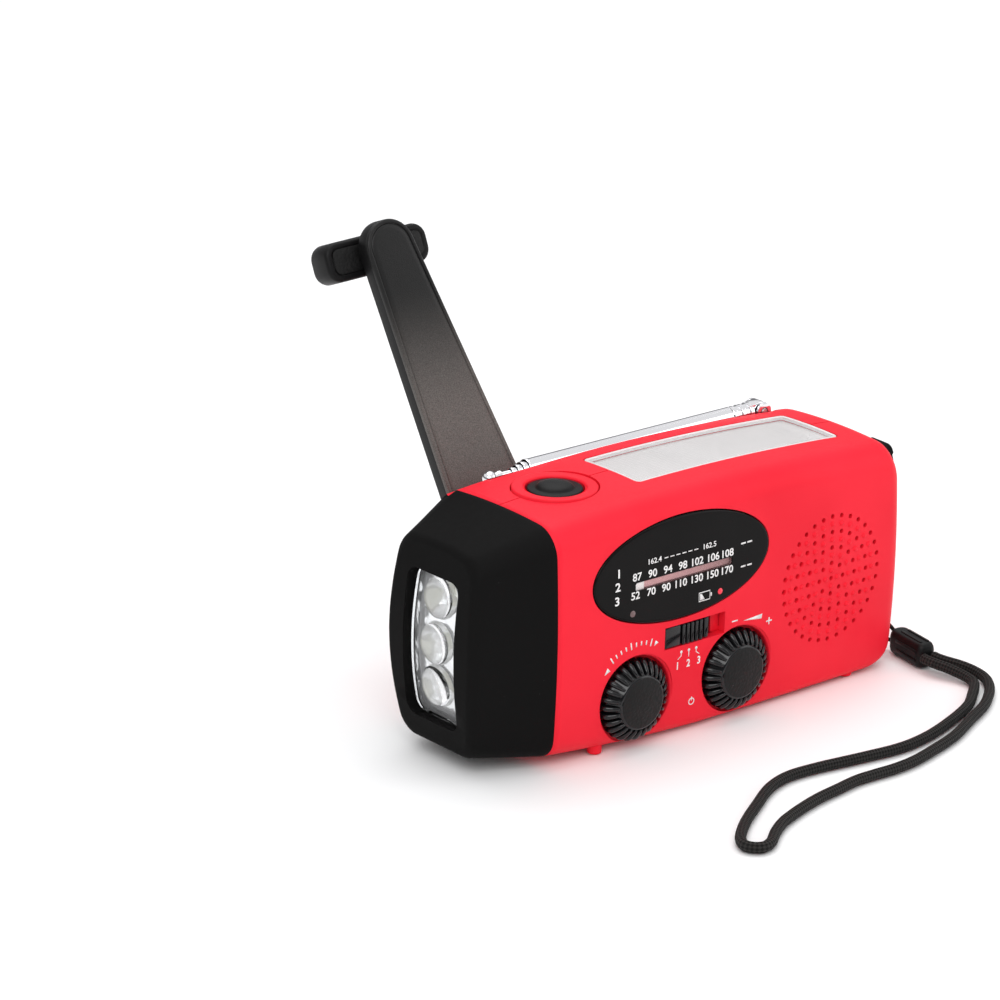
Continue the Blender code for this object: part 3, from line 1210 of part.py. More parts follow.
def make_hub():
    hub = across_y("crank_hub", HUB_X, HUB_Z, HUB_BACK_Y, HUB_BACK_Y + HUB_THICKNESS,
                   HUB_RADIUS, 36)
    join(hub, across_y("shaft", HUB_X, HUB_Z, CRANK_GEAR_FRONT_Y, HUB_BACK_Y + WALL / 2,
                       CRANK_SHAFT_RADIUS, 20))
    web = HINGE_Y - HUB_BACK_Y - HUB_THICKNESS / 2
    lug = box("lug", (-LUG_HALF, -BARREL_RADIUS, 0), (LUG_HALF, BARREL_RADIUS, web))
    join(lug, rod("barrel", (-LUG_HALF, 0, 0), (LUG_HALF, 0, 0), BARREL_RADIUS, 20))
    cut(lug, rod("pin_hole", (-KNUCKLE_OUTER, 0, 0), (KNUCKLE_OUTER, 0, 0), PIN_RADIUS + GAP))
    join(hub, turn_with(lug, HUB_AXES))
    dress(hub, BLACK_SATIN)
    set_axis(hub, (HUB_X, HUB_BACK_Y, HUB_Z))
    pin = rod("fold_pin", (-KNUCKLE_OUTER, 0, 0), (KNUCKLE_OUTER, 0, 0), PIN_RADIUS, 12)
    dress(turn_with(pin, HUB_AXES), STEEL)


def make_arm():
    split = -ARM_COVER_THICKNESS - GAP
    plan = arm_outline(0)
    plan = [(-ARM_ROOT_HALF, -ARM_ROOT), (-NOTCH_HALF, -ARM_ROOT), (-NOTCH_HALF, NOTCH_DEPTH),
            (NOTCH_HALF, NOTCH_DEPTH), (NOTCH_HALF, -ARM_ROOT), (ARM_ROOT_HALF, -ARM_ROOT),
            *plan[2:]]
    arm = slab("crank_arm", [plan], 'Z', -ARM_THICKNESS, split)
    for side in (-1, 1):
        join(arm, rod("knuckle", (side * NOTCH_HALF, 0, 0), (side * KNUCKLE_OUTER, 0, 0),
                      BARREL_RADIUS, 20))
    cut(arm, rod("pin_hole", (-ARM_ROOT_HALF * 2, 0, 0), (ARM_ROOT_HALF * 2, 0, 0),
                 PIN_RADIUS + GAP))
    cut(arm, rod("grip_hole", (0, GRIP_FROM_HINGE, -ARM_THICKNESS - OVERRUN),
                 (0, GRIP_FROM_HINGE, 0), GRIP_PIN_RADIUS + GAP))
    dress(turn_with(arm, ARM_AXES), BLACK_SATIN)
    set_axis(arm, HUB_AXES.translation)
    cover = slab("arm_cover", [arm_outline(NOTCH_DEPTH)], 'Z', -ARM_COVER_THICKNESS, 0)
    dress(turn_with(cover, ARM_AXES), BLACK_SATIN)


def make_grip():
    front = -ARM_THICKNESS - GRIP_CLEARANCE
    back = front - GRIP_THICKNESS
    half_length, half_height = GRIP_LENGTH / 2, GRIP_HEIGHT / 2
    outline = rounded(-half_length, half_length, -half_height, half_height, GRIP_END_RADIUS, 5)
    grip = slab("crank_grip", [outline], 'Z', back, front)
    edges = grip.modifiers.new("edges", 'BEVEL')
    edges.width = GRIP_EDGE
    edges.segments = 1
    edges.angle_limit = math.radians(60)
    grip = settle(grip)
    panel = rounded(-half_length + PANEL_MARGIN + GRIP_EDGE, half_length - PANEL_MARGIN - GRIP_EDGE,
                    -half_height + PANEL_MARGIN + GRIP_EDGE,
                    half_height - PANEL_MARGIN - GRIP_EDGE, GRIP_END_RADIUS / 2)
    cut(grip, slab("panel", [panel], 'Z', front - PANEL_DEPTH, front + OVERRUN))
    cut(grip, rod("bore", (0, 0, back - OVERRUN), (0, 0, front + OVERRUN),
                  GRIP_PIN_RADIUS + GAP))
    turn = Matrix.Translation((0, GRIP_FROM_HINGE, 0)) @ Matrix.Rotation(GRIP_TURN, 4, 'Z')
    dress(turn_with(grip, ARM_AXES @ turn), BLACK_SATIN)
    set_axis(grip, ARM_AXES @ Vector((0, GRIP_FROM_HINGE, front)))
    pin = rod("grip_pin", (0, GRIP_FROM_HINGE, back + GRIP_EDGE),
              (0, GRIP_FROM_HINGE, -ARM_COVER_THICKNESS - 2 * GAP), GRIP_PIN_RADIUS, 12)
    dress(turn_with(pin, ARM_AXES), STEEL)


# Gears and generator

WHEEL_ADDENDUM_SHARE = 0.62     # of the module, short enough to clear the pinions' roots
PINION_ADDENDUM_SHARE = 0.90
TIP_CLEARANCE = 0.0002
AXLE_RADIUS = 0.0010
IDLER_X = HUB_X + CRANK_MODULE * (CRANK_TEETH + IDLER_PINION_TEETH) / 2
ROTOR_X = IDLER_X + ROTOR_MODULE * (IDLER_TEETH + ROTOR_TEETH) / 2
IDLER_BACK_Y = CRANK_GEAR_FRONT_Y - 3 * GAP
IDLER_FRONT_Y = IDLER_BACK_Y - GEAR_WIDTH
MAGNET_BACK_Y = IDLER_FRONT_Y - 3 * GAP
MAGNET_FRONT_Y = MAGNET_BACK_Y - MAGNET_LENGTH
STATOR_FLOOR = 0.0014
PLATE_LEFT, PLATE_RIGHT = -0.0310, 0.0200
PLATE_HALF = 0.0110
PLATE_CORNER = 0.0030
POST_RADIUS = 0.0010
POST_ANGLES = (-50, 50)


def gear_outline(x, z, teeth, module, mate_teeth, is_pinion):
    """Teeth round (x, z). A wheel has a tooth at +X, and a pinion has a gap at -X."""
    pitch = module * teeth / 2
    distance = module * (teeth + mate_teeth) / 2
    tip_share = PINION_ADDENDUM_SHARE if is_pinion else WHEEL_ADDENDUM_SHARE
    mate_share = WHEEL_ADDENDUM_SHARE if is_pinion else PINION_ADDENDUM_SHARE
    tip = pitch + tip_share * module
    root = distance - module * (mate_teeth / 2 + mate_share) - TIP_CLEARANCE
    base = pitch * math.cos(PRESSURE_ANGLE)

    def involute(radius):
        turn = math.acos(min(base / radius, 1))
        return math.tan(turn) - turn

    at_pitch = math.pi / (2 * teeth) - BACKLASH / (2 * pitch)
    radii = (root, pitch, tip) if is_pinion else (root, tip)
    flank = [(radius, at_pitch + involute(pitch) - involute(radius)) for radius in radii]
    points = []
    phase = math.pi / teeth if is_pinion else 0.0
    for k in range(teeth):
        middle = phase + math.tau * k / teeth
        sides = [(radius, middle - turn) for radius, turn in flank]
        sides += [(radius, middle + turn) for radius, turn in reversed(flank)]
        points += [(x + radius * math.cos(a), z + radius * math.sin(a)) for radius, a in sides]
    return points


def make_gears():
    bore = circle(HUB_X, HUB_Z, CRANK_SHAFT_RADIUS + GAP, 20)
    teeth = gear_outline(HUB_X, HUB_Z, CRANK_TEETH, CRANK_MODULE, IDLER_PINION_TEETH, False)
    crank_gear = slab("crank_gear", [teeth, bore], 'Y', CRANK_GEAR_FRONT_Y, CRANK_GEAR_BACK_Y)
    set_axis(dress(crank_gear, CREAM_PLASTIC, 20), (HUB_X, CRANK_GEAR_BACK_Y, HUB_Z))
    wheel = gear_outline(IDLER_X, HUB_Z, IDLER_TEETH, ROTOR_MODULE, ROTOR_TEETH, False)
    pinion = gear_outline(IDLER_X, HUB_Z, IDLER_PINION_TEETH, CRANK_MODULE, CRANK_TEETH, True)
    idler = slab("idler_gear", [wheel], 'Y', IDLER_FRONT_Y, IDLER_BACK_Y)
    join(idler, slab("pinion", [pinion], 'Y', IDLER_BACK_Y - GEAR_WIDTH / 4, CRANK_GEAR_BACK_Y))
    cut(idler, across_y("bore", IDLER_X, HUB_Z, IDLER_FRONT_Y - OVERRUN,
                        CRANK_GEAR_BACK_Y + OVERRUN, AXLE_RADIUS + GAP, 12))
    set_axis(dress(idler, CREAM_PLASTIC, 20), (IDLER_X, IDLER_BACK_Y, HUB_Z))


def make_generator():
    floor_back = MAGNET_FRONT_Y - SLIDE_GAP
    floor_front = floor_back - STATOR_FLOOR
    rotor = across_y("generator_rotor", ROTOR_X, HUB_Z, MAGNET_FRONT_Y, MAGNET_BACK_Y,
                     MAGNET_RADIUS, 28)
    pinion = gear_outline(ROTOR_X, HUB_Z, ROTOR_TEETH, ROTOR_MODULE, IDLER_TEETH, True)
    join(rotor, slab("pinion", [pinion], 'Y', MAGNET_BACK_Y - STATOR_FLOOR,
                     IDLER_BACK_Y + GAP))
    join(rotor, across_y("shaft", ROTOR_X, HUB_Z, floor_front, GEAR_PLATE_BACK_Y,
                         AXLE_RADIUS, 12))
    set_axis(dress(rotor, FERRITE, 20), (ROTOR_X, MAGNET_BACK_Y, HUB_Z))
    stator = across_y("generator_stator", ROTOR_X, HUB_Z, floor_front, MAGNET_BACK_Y,
                      STATOR_RADIUS, 32)
    cut(stator, across_y("room", ROTOR_X, HUB_Z, floor_back, MAGNET_BACK_Y + OVERRUN,
                         MAGNET_RADIUS + SLIDE_GAP, 32))
    cut(stator, across_y("bearing", ROTOR_X, HUB_Z, floor_front - OVERRUN, MAGNET_BACK_Y,
                         AXLE_RADIUS + GAP, 12))
    dress(stator, COPPER)


def make_gear_plate():
    """The plate behind the hub's recess: it carries the idler's axle and the stator's posts."""
    outline = rounded(PLATE_LEFT, PLATE_RIGHT, HUB_Z - PLATE_HALF, HUB_Z + PLATE_HALF,
                      PLATE_CORNER)
    plate = slab("gear_plate", [outline], 'Y', GEAR_PLATE_FRONT_Y, GEAR_PLATE_BACK_Y)
    middle = (GEAR_PLATE_FRONT_Y + GEAR_PLATE_BACK_Y) / 2
    join(plate, across_y("axle", IDLER_X, HUB_Z, IDLER_FRONT_Y - GAP, middle, AXLE_RADIUS, 12))
    for angle in POST_ANGLES:
        reach = (MAGNET_RADIUS + SLIDE_GAP + STATOR_RADIUS) / 2
        x = ROTOR_X + reach * math.cos(math.radians(angle))
        z = HUB_Z + reach * math.sin(math.radians(angle))
        join(plate, across_y("post", x, z, MAGNET_BACK_Y + GAP, middle, POST_RADIUS, 10))
    for x, radius in ((HUB_X, CRANK_SHAFT_RADIUS), (ROTOR_X, AXLE_RADIUS)):
        cut(plate, across_y("hole", x, HUB_Z, GEAR_PLATE_FRONT_Y - OVERRUN,
                            GEAR_PLATE_BACK_Y + OVERRUN, radius + GAP))
    dress(plate, STEEL)


# Wrist strap: it lies where the photograph shows it, its points chosen by hand in millimetres

MM = 0.001
LOCK_LENGTH = 0.0140
LOCK_WIDTH = 0.0052
LOCK_HEIGHT = 0.0066
LOCK_EDGE = 0.0008
LOCK_CENTRE = (0.0698, -0.0205)
LOCK_TURN = math.radians(-10.2)
STRAP_RADIUS = 0.0013
TETHER_RADIUS = 0.0005
CORD_STEP = 0.0052
TETHER_STEP = 0.0012
STRAP_ROUTE = (
    (67.05, -27.42, 3.2), (66.85, -29.2, 3.2), (67.2, -31.8, 3.05), (68.3, -35.2, 2.6),
    (69.2, -39.2, 1.9), (68.5, -43.3, 1.4), (62.6, -48.5, 1.35), (57.2, -52.4, 1.35),
    (49.4, -55.9, 1.35), (38.8, -59.5, 1.35), (30.9, -61.1, 1.35), (24.2, -61.3, 1.35),
    (17.0, -60.4, 1.35), (9.7, -59.3, 1.35), (2.4, -58.2, 1.35), (-5.0, -57.7, 1.35),
    (-10.5, -58.6, 1.35), (-16.1, -60.9, 1.35), (-23.4, -65.4, 1.35), (-30.9, -70.2, 1.35),
    (-36.0, -74.1, 1.35), (-39.6, -77.6, 1.35), (-41.0, -81.0, 1.35), (-38.9, -83.6, 1.35),
    (-35.4, -82.9, 1.35), (-31.0, -79.6, 1.35), (-26.5, -76.8, 1.35), (-22.8, -75.2, 1.35),
    (-16.3, -73.0, 1.35), (-9.3, -71.2, 1.35), (-3.0, -70.2, 1.35), (4.1, -69.1, 1.35),
    (10.0, -69.2, 1.35), (16.2, -69.5, 1.35), (23.2, -68.9, 1.35), (31.4, -66.9, 1.35),
    (41.2, -63.9, 1.35), (51.9, -58.8, 1.35), (59.3, -55.3, 1.35), (64.2, -52.1, 1.35),
    (69.1, -48.0, 1.35), (72.6, -43.5, 1.4), (73.2, -39.8, 1.9), (72.2, -36.0, 2.6),
    (70.8, -33.0, 3.0), (69.9, -30.2, 3.2), (69.98, -28.0, 3.2))
TETHER_ROUTE = (
    (71.1, -13.28, 2.4), (70.4, -11.6, 2.6), (69.0, -9.6, 3.0), (67.2, -7.7, 3.7),
    (65.7, -6.6, 5.1), (65.25, -6.4, 7.0), (65.6, -6.6, 8.8), (66.9, -7.7, 9.6),
    (68.5, -9.4, 9.0), (70.1, -11.3, 7.0), (71.1, -13.28, 4.9))


def smooth_route(route, step):
    """Points on a smooth curve through a route's own points, about one step apart."""
    knots = [Vector(point) * MM for point in route]
    ends = [2 * knots[0] - knots[1], *knots, 2 * knots[-1] - knots[-2]]
    points = [knots[0]]
    for before, start, end, after in zip(ends, ends[1:], ends[2:], ends[3:]):
        count = max(round((end - start).length / step), 1)
        for k in range(1, count + 1):
            t = k / count
            points.append(0.5 * ((2 * start) + (end - before) * t
                                 + (2 * before - 5 * start + 4 * end - after) * t ** 2
                                 + (3 * start - before - 3 * end + after) * t ** 3))
    return points


def make_strap():
    half_width, half_length = LOCK_WIDTH / 2, LOCK_LENGTH / 2
    outline = [(-half_width, -half_length), (half_width, -half_length),
               *arc(0, half_length - half_width, half_width, 0, 180, 10)]
    lock = slab("strap_lock", [outline], 'Z', 0, LOCK_HEIGHT)
    edges = lock.modifiers.new("edges", 'BEVEL')
    edges.width = LOCK_EDGE
    edges.segments = 2
    edges.angle_limit = math.radians(60)
    lock = settle(lock)
    place = Matrix.Translation((*LOCK_CENTRE, 0)) @ Matrix.Rotation(LOCK_TURN, 4, 'Z')
    dress(turn_with(lock, place), BLACK_SATIN)
    for name, route, step, radius in (
            ("strap_cord", STRAP_ROUTE, CORD_STEP, STRAP_RADIUS),
            ("strap_tether", TETHER_ROUTE, TETHER_STEP, TETHER_RADIUS)):
        points = smooth_route(route, step)
        length = sum((b - a).length for a, b in zip(points, points[1:]))
        print(f"{name}: {len(points)} points, {length:.4f} m long")
        dress(tube(name, points, radius), BRAID)


# The whole radio

make_front_shell()
make_rear_shell()
make_screws()
make_bezel()
make_lens()
make_reflector()
make_lamps()
make_dial()
make_knob("tuning_knob", TUNING_X)
make_knob("volume_knob", VOLUME_X)
make_band_switch()
make_boards()
make_speaker()
make_aerial()
make_battery()
make_sockets()
make_port_cover()
make_solar()
make_torch_button()
make_antenna()
make_hub()
make_arm()
make_grip()
make_gears()
make_generator()
make_gear_plate()
make_strap()

CARRIERS = {
    "crank_gear": "crank_hub", "crank_arm": "crank_hub", "fold_pin": "crank_hub",
    "arm_cover": "crank_arm", "grip_pin": "crank_arm", "crank_grip": "crank_arm",
    "antenna_section_1": "antenna_knuckle", "antenna_section_2": "antenna_section_1",
    "antenna_section_3": "antenna_section_2", "antenna_section_4": "antenna_section_3",
    "antenna_section_5": "antenna_section_4",
}
FREE_CORD = ("strap_cord", "strap_tether", "strap_lock")

frame = bpy.data.objects.new("radio_frame", None)
RADIO.objects.link(frame)
bpy.context.view_layer.update()
for piece in RADIO.objects:
    if piece == frame:
        continue
    carrier = RADIO.objects.get(CARRIERS.get(piece.name, ""))
    piece.parent = carrier or frame
    piece.matrix_parent_inverse = piece.parent.matrix_basis.inverted()

# A carried piece keeps its place because each parent's inverse undoes all that is above it
bpy.context.view_layer.update()
reaches = [piece.matrix_world @ Vector(corner) for piece in RADIO.objects
           if piece.type == 'MESH' and piece.name not in FREE_CORD for corner in piece.bound_box]
for axis in (0, 1):
    lowest = min(point[axis] for point in reaches)
    highest = max(point[axis] for point in reaches)
    frame.location[axis] = -(lowest + highest) / 2
bpy.context.view_layer.update()

shift = frame.location
print("shift", [round(value, 7) for value in shift])
for piece in RADIO.objects:
    place = piece.matrix_world.translation
    print("origin of", piece.name, [round(value, 6) for value in place])
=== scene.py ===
# %% [markdown]
# # A hand crank weather radio
# This lesson dresses a solid model of a table radio until it looks like a photograph of one.
# The solids say where everything is and how it moves. Blender adds the surfaces: soft moulded
# edges, ribs, perforations, printed marks, braid, chrome and rubber.

# %% Start from the solid model
import math
import bmesh
import bpy
from mathutils import Matrix, Vector
from mathutils.bvhtree import BVHTree
from mathutils.interpolate import poly_3d_calc


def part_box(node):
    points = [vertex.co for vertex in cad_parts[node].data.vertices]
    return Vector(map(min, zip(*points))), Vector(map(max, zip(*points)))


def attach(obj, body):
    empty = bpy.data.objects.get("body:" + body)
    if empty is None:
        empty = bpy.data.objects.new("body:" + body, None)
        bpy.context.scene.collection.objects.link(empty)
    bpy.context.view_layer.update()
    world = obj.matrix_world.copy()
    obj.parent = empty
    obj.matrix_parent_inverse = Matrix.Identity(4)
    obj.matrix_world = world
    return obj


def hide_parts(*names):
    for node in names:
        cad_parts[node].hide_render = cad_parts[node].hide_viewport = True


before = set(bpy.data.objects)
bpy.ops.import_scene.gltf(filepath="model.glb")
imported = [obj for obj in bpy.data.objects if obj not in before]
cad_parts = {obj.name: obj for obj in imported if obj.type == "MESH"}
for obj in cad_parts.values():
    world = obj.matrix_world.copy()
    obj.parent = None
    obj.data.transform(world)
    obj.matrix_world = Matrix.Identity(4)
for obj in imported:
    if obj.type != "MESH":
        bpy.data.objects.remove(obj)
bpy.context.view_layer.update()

# %% [markdown]
# Shapes are drawn here in millimetres, in the radio's own axes: x along the case, y through
# it, z up from the table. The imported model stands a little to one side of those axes, because
# its box is centred. Two symmetrical pieces, a knob and the lens, show by how much.

# %% From millimetres to the model's metres
TUNING_X, VOLUME_X, KNOB_Z = -21.9, 9.75, 12.45
knob_low, knob_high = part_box("tuning_knob")
lens_low, lens_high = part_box("torch_lens")
MIDDLE = Vector(((knob_low.x + knob_high.x) / 2 - TUNING_X / 1000, (lens_low.y + lens_high.y) / 2, 0))
TO_MODEL = Matrix.Translation(MIDDLE) @ Matrix.Diagonal((0.001, 0.001, 0.001, 1))
print("the drawing's middle stands at", [round(v, 6) for v in MIDDLE])

# %% [markdown]
# ## Camera
# The camera was worked out from the photograph: its straight edges, ovals and knob circles
# fix the angle, the distance and the focal length. A long lens from nearly 1.1 m away keeps
# the sides almost parallel, as they are in the photograph.

# %% Camera
def added(name, data):
    """A new object in the scene."""
    thing = bpy.data.objects.new(name, data)
    bpy.context.scene.collection.objects.link(thing)
    return thing


FOCAL_PIXELS = 4534.99
CAMERA_AT = Vector((-675.84, -749.50, 408.17))
YAW, PITCH, ROLL = 0.699, 0.341, 0.017
looking = Vector((math.sin(YAW) * math.cos(PITCH), math.cos(YAW) * math.cos(PITCH), -math.sin(PITCH)))
level = Vector((math.cos(YAW), -math.sin(YAW), 0))
upright = level.cross(looking)
right = math.cos(ROLL) * level + math.sin(ROLL) * upright
up = -math.sin(ROLL) * level + math.cos(ROLL) * upright
lens = bpy.data.cameras.new("photo_camera")
lens.sensor_width = 36
lens.sensor_fit = 'HORIZONTAL'
lens.lens = FOCAL_PIXELS / 1000 * lens.sensor_width
lens.clip_start, lens.clip_end = 0.05, 20
camera = added("photo_camera", lens)
turn = Matrix((right, up, -looking)).transposed().to_4x4()
camera.matrix_world = Matrix.Translation(TO_MODEL @ CAMERA_AT) @ turn
bpy.context.scene.camera = camera
print("lens", round(lens.lens, 1), "mm, camera at", [round(v, 3) for v in camera.location])

# %% [markdown]
# ## Helpers for shapes
# A finished piece is a plain mesh whose object sits at the origin. So each helper returns a
# mesh in the drawing's millimetres, and one last call brings it to the model's metres, gives
# it its finish, says which body it rides on and hides the solids it stands for.

# %% Make a mesh, turn it outwards, apply what is live
def shaped(name, verts, faces):
    """An object of these points and faces, with its faces turned outwards."""
    mesh = bpy.data.meshes.new(name)
    mesh.from_pydata([tuple(v) for v in verts], [], faces)
    return outward(added(name, mesh))


def outward(piece):
    """Merge doubled points and turn every face outwards."""
    shape = bmesh.new()
    shape.from_mesh(piece.data)
    bmesh.ops.remove_doubles(shape, verts=shape.verts, dist=1e-5)
    bmesh.ops.recalc_face_normals(shape, faces=shape.faces)
    shape.to_mesh(piece.data)
    shape.free()
    return piece


def applied(piece):
    """Turn a curve, a text or live modifiers into the plain mesh that they make."""
    bpy.context.view_layer.update()
    graph = bpy.context.evaluated_depsgraph_get()
    mesh = bpy.data.meshes.new_from_object(piece.evaluated_get(graph))
    if piece.type == 'MESH':
        piece.modifiers.clear()
        piece.data = mesh
        return piece
    name, place = piece.name, piece.matrix_basis.copy()
    bpy.data.objects.remove(piece)
    mesh.transform(place)
    return added(name, mesh)


# %% Cut, join and soften
def boolean(target, tool, operation='DIFFERENCE'):
    """Cut the tool from the target, or join or intersect the two. The tool is used up."""
    step = target.modifiers.new("cut", 'BOOLEAN')
    step.operation, step.solver, step.object = operation, 'EXACT', tool
    applied(target)
    bpy.data.objects.remove(tool)
    return target


def cut(target, *tools):
    """Cut several tools from a piece, one after the other."""
    for tool in tools:
        boolean(target, tool)


def joined(name, pieces):
    """One object that holds several closed pieces side by side."""
    shape = bmesh.new()
    for piece in pieces:
        shape.from_mesh(piece.data)
        bpy.data.objects.remove(piece)
    mesh = bpy.data.meshes.new(name)
    shape.to_mesh(mesh)
    shape.free()
    return added(name, mesh)


def softened(piece, width, segments=3, angle=40):
    """Round a piece's edges with a live Bevel, then apply it."""
    edge = piece.modifiers.new("soft_edges", 'BEVEL')
    edge.width, edge.segments, edge.limit_method = width, segments, 'ANGLE'
    edge.angle_limit = math.radians(angle)
    return applied(piece)


# %% Bring a finished piece into the model
FINISHES = {}


def placed(piece, finish, body, replaces=(), sharp=40, axes=None):
    """Bring a piece to metres, dress it and let it ride on its body. It may stand for solids."""
    mesh = piece.data
    if axes is not None:
        mesh.transform(axes)
    mesh.transform(TO_MODEL)
    mesh.materials.append(FINISHES[finish])
    if not mesh.has_custom_normals:
        mesh.shade_smooth()
        mesh.set_sharp_from_angle(angle=math.radians(sharp))
    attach(piece, body)
    if replaces:
        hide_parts(*replaces)
    print(f"{piece.name}: {len(mesh.polygons)} faces, rides on {body}")
    return piece

# %% [markdown]
# Most moulded parts are either turned, like a knob, or cut from a flat outline, like a plate.
# A turned piece is a profile of radius and height spun about an axis. A prism is an outline
# given a thickness. Round-cornered outlines and ovals come from short point lists.

# %% Turned pieces
def between(rings, closed=False):
    """Quads between each ring of points and the next."""
    size = len(rings[0])
    pairs = list(zip(rings, rings[1:])) + ([(rings[-1], rings[0])] if closed else [])
    return [(a[k], a[(k + 1) % size], b[(k + 1) % size], b[k]) for a, b in pairs for k in range(size)]


def turned(name, profile, at, direction, steps=64):
    """Spin a profile of (radius, height), with the height along the direction."""
    axis = Vector(direction).to_track_quat('Z', 'Y').to_matrix()
    closed = profile[0] == profile[-1]
    points = profile[:-1] if closed else profile
    verts, rings = [], []
    for radius, height in points:
        if radius < 1e-6:
            rings.append([len(verts)] * steps)
            verts.append(Vector(at) + axis @ Vector((0, 0, height)))
            continue
        rings.append(range(len(verts), len(verts) + steps))
        for k in range(steps):
            a = math.tau * k / steps
            verts.append(Vector(at) + axis @ Vector((radius * math.cos(a), radius * math.sin(a), height)))
    faces = [list(dict.fromkeys(quad)) for quad in between(rings, closed)]
    return shaped(name, verts, [face for face in faces if len(face) > 2])


def rod(name, radius, near, far, at, direction, steps=48):
    """A plain cylinder, from the near to the far height along the direction."""
    return turned(name, [(0, far), (radius, far), (radius, near), (0, near)], at, direction, steps)


# %% Outlines, prisms and blocks
def arc(u, v, radius, start, end, steps):
    turns = [math.radians(start + (end - start) * k / steps) for k in range(steps + 1)]
    return [(u + radius * math.cos(a), v + radius * math.sin(a)) for a in turns]


def rounded(left, right, low, high, radius, steps=8):
    """A rectangle with rounded corners."""
    corners = ((right - radius, low + radius, -90), (right - radius, high - radius, 0),
               (left + radius, high - radius, 90), (left + radius, low + radius, 180))
    return [point for u, v, start in corners for point in arc(u, v, radius, start, start + 90, steps)]


def oval(u, v, half_u, half_v, steps=128):
    turns = [math.tau * k / steps for k in range(steps)]
    return [(u + half_u * math.cos(a), v + half_v * math.sin(a)) for a in turns]


PLANES = {'X': Matrix(((0, 0, 1), (1, 0, 0), (0, 1, 0))).to_4x4(),
          'Y': Matrix(((1, 0, 0), (0, 0, -1), (0, 1, 0))).to_4x4(),
          'Z': Matrix.Identity(4)}


def prism(name, outlines, axis, low, high):
    """An outline, with any holes, between two places along X, Y or Z."""
    if axis == 'Y':
        low, high = -high, -low
    curve = bpy.data.curves.new(name, 'CURVE')
    curve.dimensions, curve.fill_mode, curve.extrude = '2D', 'BOTH', (high - low) / 2
    for outline in outlines:
        spline = curve.splines.new('POLY')
        spline.points.add(len(outline) - 1)
        for knot, (u, v) in zip(spline.points, outline):
            knot.co = (u, v, 0, 1)
        spline.use_cyclic_u = True
    drawn = added(name, curve)
    drawn.matrix_basis = PLANES[axis] @ Matrix.Translation((0, 0, (low + high) / 2))
    return outward(applied(drawn))


def block(name, low, high, edge=0.0, segments=3):
    """A box between two corners, with soft edges if asked."""
    corners = [(x, y, z) for x in (low[0], high[0]) for y in (low[1], high[1]) for z in (low[2], high[2])]
    faces = [(0, 1, 3, 2), (4, 6, 7, 5), (0, 4, 5, 1), (2, 3, 7, 6), (0, 2, 6, 4), (1, 5, 7, 3)]
    piece = shaped(name, corners, faces)
    return softened(piece, edge, segments) if edge else piece

# %% [markdown]
# ## Helpers for nodes
# Materials and Geometry Nodes are both graphs. One small class wraps a socket, so that
# arithmetic is written as ordinary expressions, and one method adds any other node: its
# settings first, then the values or links of its sockets.

# %% A socket with arithmetic
def math_node(operation):
    """A method that adds this Math node to the graph of its socket."""
    return lambda wire, *others: wire.graph.maths(operation, wire, *others)


class Wire:
    """A socket of a graph. Arithmetic on it adds Math nodes."""

    def __init__(self, graph, socket):
        self.graph, self.socket = graph, socket

    __add__ = __radd__ = math_node('ADD')
    __mul__ = __rmul__ = math_node('MULTIPLY')
    __sub__ = math_node('SUBTRACT')
    __truediv__ = math_node('DIVIDE')
    __gt__ = math_node('GREATER_THAN')
    sine = math_node('SINE')
    cosine = math_node('COSINE')
    floor = math_node('FLOOR')
    root = math_node('SQRT')

    def __rsub__(self, number):
        return self.graph.maths('SUBTRACT', number, self)

    def smooth(self, low, high):
        """0 below low, 1 above high, and a soft step between them."""
        inputs = {"Value": self, "From Min": low, "From Max": high}
        return self.graph.add('ShaderNodeMapRange', inputs, interpolation_type='SMOOTHSTEP')


# %% A graph and its nodes
class Graph:
    """The nodes of a material, of the world or of a Geometry Nodes tree."""

    def __init__(self, tree):
        self.tree = tree

    def add(self, kind, inputs=None, output=0, **settings):
        """A node: its settings first, then the values or links of its sockets."""
        node = self.tree.nodes.new(kind)
        for name, setting in settings.items():
            setattr(node, name, setting)
        for name, value in (inputs or {}).items():
            self.feed(node.inputs[name], value)
        return Wire(self, node.outputs[output])

    def feed(self, socket, value):
        """Link a wire to a socket, or set its number or colour."""
        if isinstance(value, Wire):
            self.tree.links.new(value.socket, socket)
        elif socket.type == 'RGBA':
            socket.default_value = (*value, 1)
        else:
            socket.default_value = value

    def maths(self, operation, *values):
        return self.add('ShaderNodeMath', dict(enumerate(values)), operation=operation)

    def parts(self, vector):
        """The x, y and z of a vector."""
        split = self.add('ShaderNodeSeparateXYZ', {0: vector}).socket.node
        return [Wire(self, socket) for socket in split.outputs]

    def blend(self, share, a, b):
        """A colour between two others."""
        return self.add('ShaderNodeMix', {0: share, 6: a, 7: b}, 2, data_type='RGBA')


